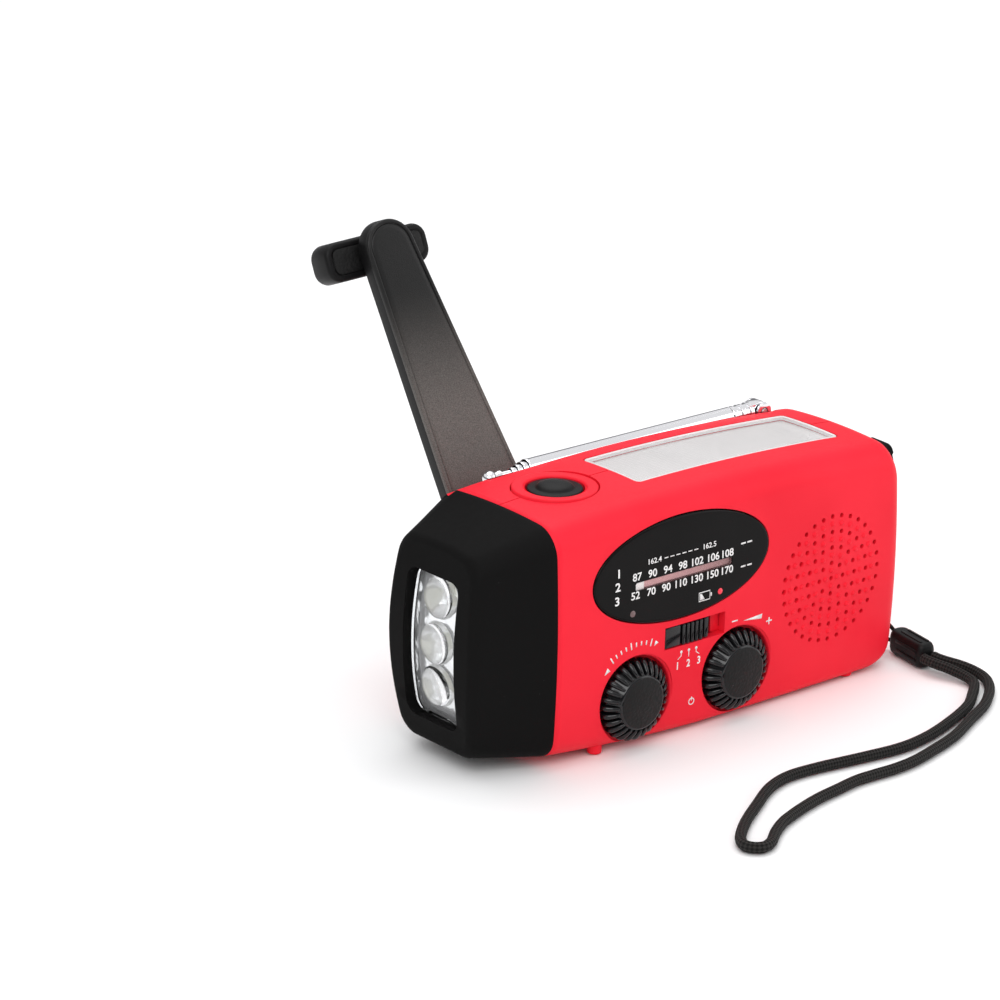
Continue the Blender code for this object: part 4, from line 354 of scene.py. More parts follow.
# %% A finish
class Finish(Graph):
    """A material: a Principled shader, with its constants set on its own sockets."""

    def __init__(self, name, base, **sockets):
        self.material = FINISHES[name] = bpy.data.materials.new(name)
        self.material.use_nodes = True
        super().__init__(self.material.node_tree)
        self.shader = self.tree.nodes["Principled BSDF"]
        self.set("Base Color", base)
        for socket, value in sockets.items():
            self.set(socket.replace("_", " "), value)
        print("finish", name)

    def set(self, socket, value):
        self.feed(self.shader.inputs[socket], value)

    def colour(self, share, a, b):
        self.set("Base Color", self.blend(share, a, b))

    def place(self, output="Object"):
        return self.add('ShaderNodeTexCoord', output=output)

    def stretched(self, scale, turn=(0, 0, 0)):
        """Object coordinates in metres, scaled along each axis."""
        return self.add('ShaderNodeMapping', {"Vector": self.place(), "Rotation": turn, "Scale": scale})

    def noise(self, scale, detail=3.0, vector=None):
        inputs = {"Vector": vector or self.place(), "Scale": scale, "Detail": detail}
        return self.add('ShaderNodeTexNoise', inputs)

    def cells(self, scale, feature='F1'):
        return self.add('ShaderNodeTexVoronoi', {"Vector": self.place(), "Scale": scale}, feature=feature)

    def relief(self, height, depth, strength=1.0):
        """A bump of this real depth in metres."""
        inputs = {"Height": height, "Distance": depth, "Strength": strength}
        self.set("Normal", self.add('ShaderNodeBump', inputs))


# %% Trees of Geometry Nodes
def made_by(tree_name, inputs, build):
    """A tree with named inputs, from a function that wires them up."""
    tree = bpy.data.node_groups.new(tree_name, 'GeometryNodeTree')
    tree.interface.new_socket("Geometry", in_out='INPUT', socket_type='NodeSocketGeometry')
    tree.interface.new_socket("Geometry", in_out='OUTPUT', socket_type='NodeSocketGeometry')
    for name, kind in inputs.items():
        tree.interface.new_socket(name, in_out='INPUT', socket_type='NodeSocket' + kind)
    graph = Graph(tree)
    entry = tree.nodes.new('NodeGroupInput')
    given = {socket.name: Wire(graph, socket) for socket in entry.outputs if socket.name}
    real = graph.add('GeometryNodeRealizeInstances', {0: build(graph, given)})
    coated = graph.add('GeometryNodeSetMaterial', {0: real, "Material": given["Material"]})
    tree.links.new(coated.socket, tree.nodes.new('NodeGroupOutput').inputs[0])
    print(f"tree {tree_name}: {len(tree.nodes)} nodes")
    return tree


def grown(piece, tree, **values):
    """Run a tree on a piece with these inputs and keep the plain mesh that it makes."""
    step = piece.modifiers.new(tree.name, 'NODES')
    step.node_group = tree
    for item in tree.interface.items_tree:
        name = item.name.replace(" ", "_").lower()
        if item.in_out == 'INPUT' and name in values:
            step[item.identifier] = values[name]
    applied(piece)
    piece.data.materials.clear()
    return piece

# %% [markdown]
# ## Finishes
# Every surface gets a material of its own from nodes: what the colour does, how rough it is
# and what its grain looks like. Coordinates are metres on the object, so a noise scale of
# 4000 makes grains a quarter of a millimetre wide.

# %% Red case plastic: matte, spark-eroded grain, a trace of unevenness
red = Finish("red_plastic", (0.80, 0.022, 0.040), Roughness=0.48, Specular_IOR_Level=0.15)
cloudy = red.noise(38, 2)
red.colour(cloudy.smooth(0.3, 0.7), (0.825, 0.012, 0.030), (0.885, 0.0165, 0.037))
red.set("Roughness", 0.44 + 0.08 * red.noise(900, 2))
red.relief(red.noise(5200, 2), 0.000035, 0.5)

# %% Black rubber with a little dust
rubber = Finish("black_rubber", (0.009, 0.009, 0.010), Roughness=0.62, Specular_IOR_Level=0.05)
dust = rubber.cells(420).smooth(0.045, 0.03) * (rubber.noise(160, 2) > 0.56)
rubber.colour(dust * 0.55, (0.0055, 0.0053, 0.0053), (0.06, 0.06, 0.06))
rubber.set("Roughness", 0.58 + 0.12 * rubber.noise(700, 3))
rubber.relief(rubber.noise(4200, 3), 0.00003, 0.55)

# %% Satin and grained black plastic
satin = Finish("black_satin", (0.009, 0.009, 0.010), Roughness=0.4, Specular_IOR_Level=0.16)
satin.colour(satin.noise(900, 3), (0.0030, 0.0030, 0.0034), (0.0065, 0.0063, 0.0063))
satin.set("Roughness", 0.33 + 0.16 * satin.noise(3000, 3))
satin.relief(satin.noise(6500, 2), 0.00004, 0.6)

grain = Finish("grained_black", (0.005, 0.005, 0.005), Roughness=0.5, Specular_IOR_Level=0.24)
pebbles = grain.cells(1500, 'SMOOTH_F1')
grain.set("Roughness", 0.38 + 0.25 * pebbles)
grain.relief(pebbles + 0.5 * grain.noise(2600, 3), 0.00011, 0.8)

# %% Crank plate: a grey-brown reflection is painted on its lower half
painted_plate = Finish("worn_black", (0.009, 0.009, 0.009), Roughness=0.5, Specular_IOR_Level=0.3)
specks = painted_plate.noise(5200, 2).smooth(0.3, 0.7)
_, _, upward = painted_plate.parts(painted_plate.place())
# Painted reflection: the plate's lower half is coloured grey-brown where a bright reflection falls. The band
# fades back to black at the very bottom, which is painted shade near the case. The specks show only inside
# the band.
painted_reflection = upward.smooth(0.100, 0.066) * upward.smooth(0.038, 0.056)
painted_plate.colour(painted_reflection * (0.45 + 0.55 * specks), (0.005, 0.005, 0.005), (0.165, 0.152, 0.141))
painted_plate.set("Roughness", 0.34 + 0.24 * painted_reflection + 0.06 * specks)
painted_plate.relief(painted_plate.noise(4200, 3), 0.00006, 0.7)

# %% Black gloss and the dial's black
gloss = Finish("black_gloss", (0.004, 0.004, 0.005), Roughness=0.12, Specular_IOR_Level=0.42)
gloss.set("Roughness", 0.07 + 0.09 * gloss.noise(240, 4))
gloss.relief(gloss.noise(260, 2), 0.00002, 0.3)

dial = Finish("dial_black", (0.006, 0.005, 0.005), Roughness=0.10, Specular_IOR_Level=0.07,
              Coat_Weight=0.04, Coat_Roughness=0.05)
dial.colour(dial.noise(60, 2), (0.003, 0.0026, 0.0026), (0.007, 0.006, 0.006))
dial.set("Roughness", 0.09 + 0.08 * dial.noise(200, 3))

# %% Chrome, steel and copper
chrome = Finish("chrome", (0.80, 0.80, 0.82), Metallic=1.0, Roughness=0.07)
drawn_lines = chrome.noise(1.0, 3, chrome.stretched((60, 9000, 9000)))
chrome.set("Roughness", 0.05 + 0.09 * drawn_lines)
chrome.relief(drawn_lines, 0.000006, 0.4)

steel = Finish("steel", (0.50, 0.50, 0.51), Metallic=1.0, Roughness=0.34)
brushed = steel.noise(1.0, 4, steel.stretched((400, 400, 12000)))
steel.set("Roughness", 0.26 + 0.2 * brushed)
steel.relief(brushed, 0.00001, 0.4)

copper = Finish("copper", (0.62, 0.27, 0.12), Metallic=1.0, Roughness=0.3)
turns_of_wire = (copper.parts(copper.place())[0] * 21000).sine()
# The colour darkens in the grooves between the turns of wire: painted shade.
copper.colour(turns_of_wire.smooth(-0.9, 0.2), (0.12, 0.04, 0.015), (0.66, 0.29, 0.12))
copper.relief(turns_of_wire, 0.00008, 0.7)

# %% Clear plastics
clear = Finish("clear_plastic", (0.97, 0.98, 0.99), Roughness=0.03, Transmission_Weight=1.0, IOR=1.49)
clear.set("Roughness", 0.02 + 0.05 * clear.noise(300, 3))

cover_glass = Finish("solar_glass", (0.92, 0.91, 0.91), Roughness=0.10, Specular_IOR_Level=0.4)
streaks = cover_glass.noise(1.0, 3, cover_glass.stretched((45, 14, 14), turn=(0, 0, 0.5)))
cover_glass.set("Alpha", 0.16 + 0.30 * streaks.smooth(0.45, 0.75))
cover_glass.set("Roughness", 0.08 + 0.1 * streaks)

rim_glass = Finish("clear_rim", (0.93, 0.91, 0.91), Roughness=0.06, Specular_IOR_Level=0.6)
rim_glass.set("Alpha", 0.62 + 0.25 * rim_glass.noise(700, 3))

# %% Hammered reflector with a faint painted glow, and ribbed solar cell
# The reflector's small emission is painted light: a faint glow that brightens it.
mirror = Finish("reflector_chrome", (0.97, 0.97, 0.97), Metallic=0.8, Roughness=0.2,
                Emission_Color=(1, 1, 1), Emission_Strength=0.05)
hammered = mirror.cells(620, 'SMOOTH_F1')
mirror.relief(hammered, 0.00024, 0.7)
mirror.set("Roughness", 0.08 + 0.12 * hammered)

cell = Finish("solar_cell", (0.5, 0.49, 0.5), Roughness=0.35, Specular_IOR_Level=0.6)
across, _, _ = cell.parts(cell.place())
fingers = (across * 5200 + 0.6 * cell.noise(90, 2)).sine().smooth(0.45, 0.95)
silk = cell.noise(1.0, 4, cell.stretched((5200, 90, 90)))
cell.colour(0.25 * fingers + 0.55 * silk, (0.50, 0.48, 0.48), (0.80, 0.78, 0.77))
cell.set("Roughness", 0.30 + 0.2 * silk)

# %% Rose window, print and small lamps
rose = Finish("rose_window", (0.80, 0.45, 0.46), Roughness=0.2, Specular_IOR_Level=0.3)
rose.set("Alpha", 0.07 + 0.04 * rose.noise(400, 2))
back = Finish("rose_track", (0.46, 0.20, 0.21), Roughness=0.5, Specular_IOR_Level=0.2)
along, _, _ = back.parts(back.place())
back.colour(along.smooth(-0.016, 0.009), (0.86, 0.50, 0.51), (0.46, 0.27, 0.27))

printed = Finish("white_print", (0.86, 0.85, 0.84), Roughness=0.5)
printed.colour(printed.noise(2600, 2).smooth(0.25, 0.6), (0.70, 0.68, 0.68), (0.88, 0.87, 0.86))
lamp_red = Finish("red_lamp", (0.75, 0.03, 0.05), Roughness=0.2,
                  Emission_Color=(0.9, 0.05, 0.08), Emission_Strength=0.25)
lamp_red.set("Roughness", 0.15 + 0.1 * lamp_red.noise(900, 2))
lamp_dim = Finish("dim_lamp", (0.16, 0.10, 0.10), Roughness=0.25)
lamp_dim.set("Roughness", 0.2 + 0.1 * lamp_dim.noise(900, 2))

# %% Finishes of the pieces inside
for name, low, high, metal, rough, size in (
        ("cream_plastic", (0.66, 0.63, 0.56), (0.78, 0.76, 0.70), 0, 0.42, 700),
        ("ferrite", (0.022, 0.022, 0.023), (0.05, 0.05, 0.052), 0, 0.6, 2500),
        ("battery_sleeve", (0.035, 0.24, 0.12), (0.06, 0.34, 0.18), 0, 0.3, 120),
        ("paper_cone", (0.02, 0.02, 0.021), (0.05, 0.048, 0.045), 0, 0.85, 1800),
        ("led_resin", (0.80, 0.80, 0.70), (0.92, 0.90, 0.76), 0, 0.12, 500)):
    inner = Finish(name, low, Metallic=metal)
    mottle = inner.noise(size, 3)
    inner.colour(mottle, low, high)
    inner.set("Roughness", rough + 0.12 * mottle)
    inner.relief(mottle, 0.00002, 0.4)
# %% Circuit board
board = Finish("circuit_board", (0.02, 0.16, 0.06), Roughness=0.4)
across, _, upward = board.parts(board.place())
traces = (across * 2400 + 1.6 * (upward * 900).sine()).sine().smooth(0.55, 0.75)
board.colour(traces, (0.015, 0.13, 0.045), (0.05, 0.27, 0.10))
board.relief(traces, 0.00003, 0.6)
print("finishes:", len(FINISHES))

# %% [markdown]
# ## The case's surface
# The case is a loft: at each place along it stands a rounded section, and near the strap end
# the sections draw in to a soft round end. The same surface is used three times over, for the
# shells, for laying parts on the face or the top, and for keeping highlights smooth after cuts.

# %% Sections of the case
TORCH_END, SEAM, STRAP_END = -64.0, -46.2, 64.4
TORCH_EDGE, END_SWELL, SWELL_DEPTH, WALL = 1.8, 2.6, 8.9, 2.0
HALF_DEPTH, TOP, BOTTOM, SWELL, CORNER = 22.3, 61.2, 0.7, 1.2, 6.0
ENDS = {"top": 6.7, "bottom": 9.0, "half": 4.5}


def mix(a, b, share):
    return a + (b - a) * share


def drawn_in(radius, to_end):
    """How far a round end of this radius has drawn in, this far from its tip."""
    if to_end >= radius:
        return 0.0
    return radius - math.sqrt(max(radius ** 2 - (radius - to_end) ** 2, 0))


def section(x, inset=0.0):
    """Half depth, top, bottom, swell and corner radii of the case at x."""
    share = x / SEAM
    half = HALF_DEPTH - 0.5 * share ** 2 - SWELL
    s = {"half_top": half, "half_bottom": half, "bow": SWELL, "crown": SWELL, "top": TOP - 1.6 * share ** 2,
         "bottom": BOTTOM + 1.86 * max(share, 0) ** 2, "top_radius": CORNER,
         "bottom_radius": mix(2.5, 5.5, min(max(share, 0), 1))}
    if x < SEAM:
        share = (SEAM - x) / (SEAM - TORCH_END)
        s["half_top"], s["half_bottom"] = mix(20.6, 13.6, share), mix(20.6, 12.4, share)
        s["bow"], s["top"] = mix(SWELL, 2.6, share), mix(TOP - 1.6, 53.9, share)
        s["top_radius"], s["bottom_radius"] = mix(CORNER, 4.0, share), mix(5.5, 4.0, share)
        drops = [drawn_in(TORCH_EDGE, x - TORCH_END)] * 3
    else:
        to_end = STRAP_END - inset - x
        drops = [drawn_in(ENDS[k] - inset, to_end) for k in ("top", "bottom", "half")]
    s["top"] -= inset + drops[0]
    s["bottom"] += inset + drops[1]
    s["half_top"] -= inset + drops[2]
    s["half_bottom"] -= inset + drops[2]
    for name in ("top_radius", "bottom_radius"):
        s[name] = max(s[name] - inset, 0.6)
    return s


# %% Outline of one section
def half_outline(s, corner, side, top):
    """The (y, z) points of one side of a section, from the bottom to the middle of the top."""
    middle, reach = (s["top"] + s["bottom"]) / 2, (s["top"] - s["bottom"]) / 2

    def half_at(z):
        share = (z - middle) / reach
        return mix(s["half_bottom"], s["half_top"], (share + 1) / 2) + s["bow"] * (1 - share ** 2)

    low, high = s["bottom_radius"], s["top_radius"]
    points = []
    for k in range(corner, -1, -1):
        a = math.pi / 2 * k / corner
        z = s["bottom"] + low * (1 - math.sin(a))
        points.append((half_at(z) - low * (1 - math.cos(a)), z))
    for k in range(1, side):
        z = mix(s["bottom"] + low, s["top"] - high, k / side)
        points.append((half_at(z), z))
    for k in range(corner + 1):
        a = math.pi / 2 * k / corner
        z = s["top"] - high * (1 - math.sin(a))
        points.append((half_at(z) - high * (1 - math.cos(a)), z))
    flat = points[-1][0]
    points += [(flat * (1 - k / top), s["top"]) for k in range(1, top + 1)]
    widest = half_at(s["top"])
    return [(y, z - s["crown"] * (y / widest) ** 2 if z > middle else z) for y, z in points]


# %% Skin of all sections
def loft(name, stations, inset=0.0, corner=10, side=22, top=10):
    """Skin the sections. A station is x for the section, and x where it stands."""
    verts, rings = [], []
    for x, stands in stations:
        s = section(x, inset)
        outline = half_outline(s, corner, side, top)
        middle, reach = (s["top"] + s["bottom"]) / 2, (s["top"] - s["bottom"]) / 2
        weight = max(1 - max(stands - TORCH_END, 0) / SWELL_DEPTH, 0) ** 2
        around = outline + [(-y, z) for y, z in outline[-2::-1]]
        rings.append(range(len(verts), len(verts) + len(around)))
        verts += [(stands - END_SWELL * weight * (1 - ((z - middle) / reach) ** 2), y, z) for y, z in around]
    faces = between(rings)
    for ring in (rings[0], rings[-1]):
        size, half = len(ring), len(ring) // 2
        faces += [(ring[k], ring[k + 1], ring[size - 2 - k], ring[size - 1 - k]) for k in range(half - 1)]
        faces.append((ring[half - 1], ring[half], ring[half + 1]))
    return shaped(name, verts, faces)


# %% Where the sections stand
def shell_stations(inset=0.0, start=None, spans=56, end_steps=16):
    """Even steps along the case, then closer ones round the strap end."""
    end, bend = STRAP_END - inset, ENDS["bottom"] - inset
    places = [(SEAM, start)] if start is not None else []
    even = [mix(SEAM, end - bend, k / spans) for k in range(spans)]
    close = [end - bend * (1 - math.sin(math.pi / 2 * k / end_steps)) for k in range(end_steps + 1)]
    return places + [(x, x) for x in even + close]


def bezel_stations(steps=8, spans=16):
    """Close steps round the torch end's edge, then even ones to the seam."""
    places = [TORCH_END + TORCH_EDGE * (1 - math.sin(math.pi / 2 * k / steps)) for k in range(steps, -1, -1)]
    places += [mix(TORCH_END + TORCH_EDGE, SEAM, k / spans) for k in range(1, spans + 1)]
    return [(min(x, SEAM - 1e-4), x) for x in places]



# %% The uncut surface, and where it lies
case_skin = loft("case_skin", shell_stations())
case_tree = BVHTree.FromObject(case_skin, bpy.context.evaluated_depsgraph_get())
bezel_skin = loft("bezel_skin", bezel_stations())
bezel_tree = BVHTree.FromObject(bezel_skin, bpy.context.evaluated_depsgraph_get())
for skin in (case_skin, bezel_skin):
    skin.data.shade_smooth()


def touch(x, y=None, z=None):
    """Where the case's surface lies: the front at (x, z), or the top at (x, y)."""
    if y is None:
        return case_tree.ray_cast((x, -60, z), (0, 1, 0))[0].y
    return case_tree.ray_cast((x, y, 120), (0, 0, -1))[0].z


print("middle of the face at y", round(touch(0, z=30), 2), "and of the top at z", round(touch(0, 0), 2))

# %% [markdown]
# A Boolean leaves long thin triangles, and their shading would ripple across the big smooth
# surfaces. So wherever a cut piece still lies on the uncut loft, it takes the loft's own
# smooth normals. The other faces keep normals worked out from their edges.

# %% Cut pieces keep the loft's smooth highlights
SKIN_GAP, SHARP_ANGLE = 0.02, math.radians(32)


def on_skin(piece, skin, tree):
    """Give a cut piece the loft's normals wherever it still lies on the loft."""
    mesh = piece.data
    mesh.shade_smooth()
    mesh.set_sharp_from_angle(angle=SHARP_ANGLE)
    source = skin.data
    corner_normals = source.corner_normals
    on_surface = []
    for poly in mesh.polygons:
        _, normal, index, _ = tree.find_nearest(poly.center, SKIN_GAP)
        on_surface.append(index is not None and poly.normal.dot(normal) > 0.97)
    normals = [(0.0, 0.0, 0.0)] * len(mesh.loops)
    for poly, lies in zip(mesh.polygons, on_surface):
        if not lies:
            continue
        for loop in poly.loop_indices:
            point = mesh.vertices[mesh.loops[loop].vertex_index].co
            at, _, index, _ = tree.find_nearest(point, SKIN_GAP * 4)
            if index is None:
                continue
            face = source.polygons[index]
            shares = poly_3d_calc([source.vertices[v].co for v in face.vertices], at)
            smooth = Vector((0, 0, 0))
            for share, corner in zip(shares, face.loop_indices):
                smooth += corner_normals[corner].vector * share
            if smooth.length and smooth.dot(poly.normal) > 0.5:
                normals[loop] = tuple(smooth.normalized())
    mesh.normals_split_custom_set(normals)
    print(f"{piece.name}: {sum(on_surface)} faces on the loft")

# %% [markdown]
# ## Patterns by Geometry Nodes
# The speaker grille is 81 holes on five rings, with a raised dot in each gap between them.
# Both patterns follow one rule: ring k holds 8k holes, or 8k - 4 dots, evenly spaced. A node
# tree turns a point's number into its ring and its angle. The knobs' ribs and the switch's
# ribs are small trees too.

# %% Copies of a shape on points
SHAPE_INPUTS = {"Shape": 'Object', "Material": 'Material'}


def points_in_line(graph, count, step=(0, 0, 0)):
    return graph.add('GeometryNodeMeshLine', {"Count": count, "Offset": step})


def copies_on(graph, given, points, turn=(0, 0, 0)):
    shape = graph.add('GeometryNodeObjectInfo', {"Object": given["Shape"]}, "Geometry")
    return graph.add('GeometryNodeInstanceOnPoints', {"Points": points, "Instance": shape, "Rotation": turn})


def repeated(name, tree, shape, **values):
    """Copies of a small shape, placed by a tree. The shape is used up."""
    seed = shaped(name, [(0, 0, 0), (1, 0, 0), (0, 0, 1)], [(0, 1, 2)])
    copies = grown(seed, tree, shape=shape, material=FINISHES["red_plastic"], **values)
    bpy.data.objects.remove(shape)
    return copies


# %% Rings of holes and rings of dots
GRILLE = Vector((39.7, 0, 28.7))
HOLE_PITCH = 3.9


def ring_pattern(graph, given):
    number = graph.add('GeometryNodeInputIndex')
    shift = given["Half Step"]
    holes_ring = ((1 + (number + 1).root()) / 2).floor()
    dots_ring = (number.root() / 2).floor() + 1
    ring = holes_ring * (1 - shift) + dots_ring * shift
    first = 4 * ring * (ring - 1) * (1 - shift) + 4 * (ring - 1) * (ring - 1) * shift
    count = 8 * ring - 4 * shift
    angle = math.tau * (number - first) / count
    radius = (ring - 0.5 * shift) * given["Pitch"]
    place = graph.add('ShaderNodeCombineXYZ', {0: radius * angle.cosine(), 2: radius * angle.sine()})
    line = points_in_line(graph, given["Count"])
    spread = graph.add('GeometryNodeSetPosition', {"Geometry": line, "Position": place})
    both = graph.tree.nodes.new('GeometryNodeJoinGeometry')
    for points in (spread, points_in_line(graph, given["Middle"])):
        graph.tree.links.new(points.socket, both.inputs[0])
    return copies_on(graph, given, Wire(graph, both.outputs[0]))


RINGS = made_by("rings_of_copies", {"Count": 'Int', "Middle": 'Int', "Half Step": 'Float', "Pitch": 'Float',
                                    **SHAPE_INPUTS}, ring_pattern)


def in_rings(name, shape, count, middle, half_step):
    """Copies of a small shape at the grille's hole or dot places, drawn about (0, 0)."""
    copies = repeated(name, RINGS, shape, count=count, middle=middle, half_step=half_step, pitch=HOLE_PITCH)
    copies.data.transform(Matrix.Translation(GRILLE))
    return copies


# %% Copies on a circle about the Y axis, and copies in a row
def circle_pattern(graph, given):
    number = graph.add('GeometryNodeInputIndex')
    turn = graph.add('ShaderNodeCombineXYZ', {1: math.tau * number / given["Count"]})
    return copies_on(graph, given, points_in_line(graph, given["Count"]), turn)


def row_pattern(graph, given):
    return copies_on(graph, given, points_in_line(graph, given["Count"], given["Step"]))


AROUND = made_by("copies_on_a_circle", {"Count": 'Int', **SHAPE_INPUTS}, circle_pattern)
ROW = made_by("copies_in_a_row", {"Count": 'Int', "Step": 'Vector', **SHAPE_INPUTS}, row_pattern)

# %% [markdown]
# ## Red shells
# Each shell is half of the loft less a cavity, and then the openings are cut: the dial, the
# two knob wells with their flared rims, the switch slot, the solar and button openings, and
# at the back the crank's disc well, the arm's channel and the grip's pocket.

# %% Outlines that the cuts and the inserts share
DIAL = (-8.65, 42.65)
SOLAR = (-12.4, 51.9, -9.9, 9.9)
SWITCH = (-13.7, 5.1, 22.9, 28.4)
BUTTON = (-29.3, 0.0)
HUB = (-23.2, 31.0)
ANTENNA_AXIS = (17.5, 58.7)
DIAL_HALF, DIAL_GAP, SOLAR_GAP = (27.1, 12.5), 0.3, 0.3
WELL_RADIUS, WELL_FLOOR = 10.7, -19.2
print("solar window", SOLAR[1] - SOLAR[0], "by", SOLAR[3] - SOLAR[2], "mm")


def drill(name, x, z, radius, near, far, steps=48):
    """A cylinder through the case, from the near to the far y."""
    return rod(name, radius, near, far, (x, 0, z), (0, 1, 0), steps)


def well(x, front):
    """A knob's well: a straight wall that flares in a soft lip where it meets the face."""
    turns = [math.radians(a) for a in range(0, 91, 15)]
    lip = [(WELL_RADIUS + 0.6 * (1 - math.sin(a)), front + 0.7 * (1 - math.cos(a))) for a in turns]
    profile = [(0, WELL_FLOOR), (WELL_RADIUS, WELL_FLOOR), *lip[::-1], (WELL_RADIUS + 0.6, -30), (0, -30)]
    return turned("well", profile, (x, 0, KNOB_Z), (0, 1, 0), 96)


# %% Half a case, its pans, feet and the openings in its top
def half(name, side):
    solid = loft(name, shell_stations())
    low, high = sorted((side * 0.15, side * 40))
    boolean(solid, block("half", (-60, low, -10), (80, high, 80)), 'INTERSECT')
    return boolean(solid, loft("hollow", shell_stations(WALL, SEAM - 4, 14, 6), WALL, 5, 6, 4))


def lined(shell, *pans):
    """Add the walls behind the wells, kept just under the case's surface."""
    for pan in pans:
        boolean(pan, loft("limit", shell_stations(0.6, None, 14, 8), 0.6, 6, 8, 4), 'INTERSECT')
        boolean(shell, pan, 'UNION')


def open_top(shell):
    """Cut the solar window's place and the torch button's hole."""
    left, right_end, low, high = SOLAR
    outline = rounded(left - SOLAR_GAP, right_end + SOLAR_GAP, low - SOLAR_GAP, high + SOLAR_GAP, 1.5)
    boolean(shell, prism("solar_opening", [outline], 'Z', 50, 80))
    boolean(shell, rod("button_opening", 10.5, 50, 80, (*BUTTON, 0), (0, 0, 1), 96))


def on_feet(shell, y):
    foot = [(0, 3.6), (1.75, 3.6), (1.75, 0.45), (1.6, 0.12), (1.3, 0), (0, 0)]
    for x in (-30.5, 50.0):
        boolean(shell, turned("foot", foot, (x, y, 0), (0, 0, 1), 40), 'UNION')


# %% Front shell
front = half("front_shell_look", -1)
for x in (TUNING_X, VOLUME_X):
    lined(front, drill("pan", x, KNOB_Z, 12.4, -24, -17.7))
    cut(front, well(x, touch(x, z=KNOB_Z)), drill("shaft_hole", x, KNOB_Z, 3.4, -30, -10))
dial_edge = oval(*DIAL, DIAL_HALF[0] + DIAL_GAP, DIAL_HALF[1] + DIAL_GAP, 160)
cut(front, prism("dial_opening", [dial_edge], 'Y', -30, -15),
    block("switch_opening", (SWITCH[0], -30, SWITCH[2]), (SWITCH[1], -15, SWITCH[3])))
hole = [(0, -15), (0.6, -15), (0.6, -21.9), (0.72, -22.2), (0.95, -22.6), (0.95, -30), (0, -30)]
hole = turned("hole", hole, (0, 0, 0), (0, 1, 0), 20)
cut(front, in_rings("grille_holes", hole, 80, 1, 0.0))
open_top(front)
cut(front, block("socket_opening", (50, -13.9, 33.0), (80, -7.6, 46.6)),
    rod("jack_opening", 3.2, 50, 80, (0, -10.75, 28.8), (1, 0, 0), 32))
on_feet(front, -17.4)

# %% Strap lug, and the front shell's highlights
LUG = (64.6, -6.5, 7)
LUG_RADIUS, LUG_WIRE = 2.6, 0.8
wire = [(LUG_RADIUS + u, v) for u, v in oval(0, 0, LUG_WIRE, LUG_WIRE, 16)]
ring = turned("strap_lug", wire + wire[:1], LUG, (0, 1, 0), 48)
boolean(ring, loft("hollow", shell_stations(1.2, SEAM - 4, 10, 6), 1.2, 5, 6, 4))
boolean(front, ring, 'UNION')
on_skin(front, case_skin, case_tree)
placed(front, "red_plastic", "radio", ["front_shell"])

# %% Dots between the holes, and the floor of the switch slot
dot = [(0, 0.4), (0.68, 0.4), (0.68, 0.03), (0.60, -0.15), (0.46, -0.35), (0.24, -0.48), (0, -0.52)]
dot = turned("dot", dot, (0, 0, 0), (0, 1, 0), 16)
dots = in_rings("grille_dots", dot, 64, 0, 1.0)
for vert in dots.data.vertices:
    vert.co.y += touch(vert.co.x, z=vert.co.z)
placed(outward(dots), "red_plastic", "radio")
slot_floor = block("switch_slot_floor", (2.6, -19.9, 23.0), (5.6, -19.3, 28.3), 0.1)
placed(slot_floor, "red_plastic", "radio")

# %% Channel and pocket for the folded crank
CHANNEL_TIP, CHANNEL_ROOT, CHANNEL_END = 40.4, 12.2, 7.6
POCKET_X, POCKET_Z = 39.1, 31.0


def channel(margin):
    """The well that the folded arm lies in, as seen from behind."""
    x, z = HUB
    root, end = CHANNEL_ROOT + margin, CHANNEL_END + margin
    return [(x, z - root), *arc(CHANNEL_TIP, z, end, -90, 90, 24), (x, z + root)]


def tip_notch():
    """The rounded trough for the antenna's tip, cut in the rear shell and the bezel alike."""
    return rod("tip_notch", 2.2, 0, 31, (TORCH_END, *ANTENNA_AXIS), (1, 0, 0), 40)


# %% Rear shell
SCREWS = ((-37.0, 10.0), (-37.0, 50.0), (54.0, 10.0), (54.0, 50.0))
rear = half("rear_shell_look", 1)
pans = [drill("pan", *HUB, 18.0, 12.2, 30), prism("pan", [channel(1.8)], 'Y', 15.6, 30),
        block("pan", (POCKET_X - 7.5, 6.8, POCKET_Z - 17.3), (POCKET_X + 7.5, 30, POCKET_Z + 17.3)),
        block("pan", (-38, 12.8, 53.0), (57.4, 30, 70))]
lined(rear, *pans, *[drill("pan", x, z, 4.0, 12, 30) for x, z in SCREWS])
pocket = rounded(POCKET_X - 5.75, POCKET_X + 5.75, POCKET_Z - 15.5, POCKET_Z + 15.5, 3)
cut(rear, drill("disc_well", *HUB, 16.2, 14.0, 40, 96),
    drill("shaft_hole", *HUB, 2.9, 0, 40),
    prism("arm_channel", [channel(0)], 'Y', 17.5, 40),
    prism("grip_pocket", [pocket], 'Y', 8.6, 40),
    block("antenna_groove", (-37, 14.6, 55.9), (55.8, 40, 80)),
    block("bracket_pocket", (46.2, 14.6, 53.6), (55.3, 21.4, 80)),
    tip_notch())
for x, z in SCREWS:
    cut(rear, drill("screw_hole", x, z, 2.7, 17.5, 40), drill("screw_bore", x, z, 1.3, 5, 40, 24))
open_top(rear)
on_feet(rear, 17.4)
on_skin(rear, case_skin, case_tree)
placed(rear, "red_plastic", "radio", ["rear_shell"])

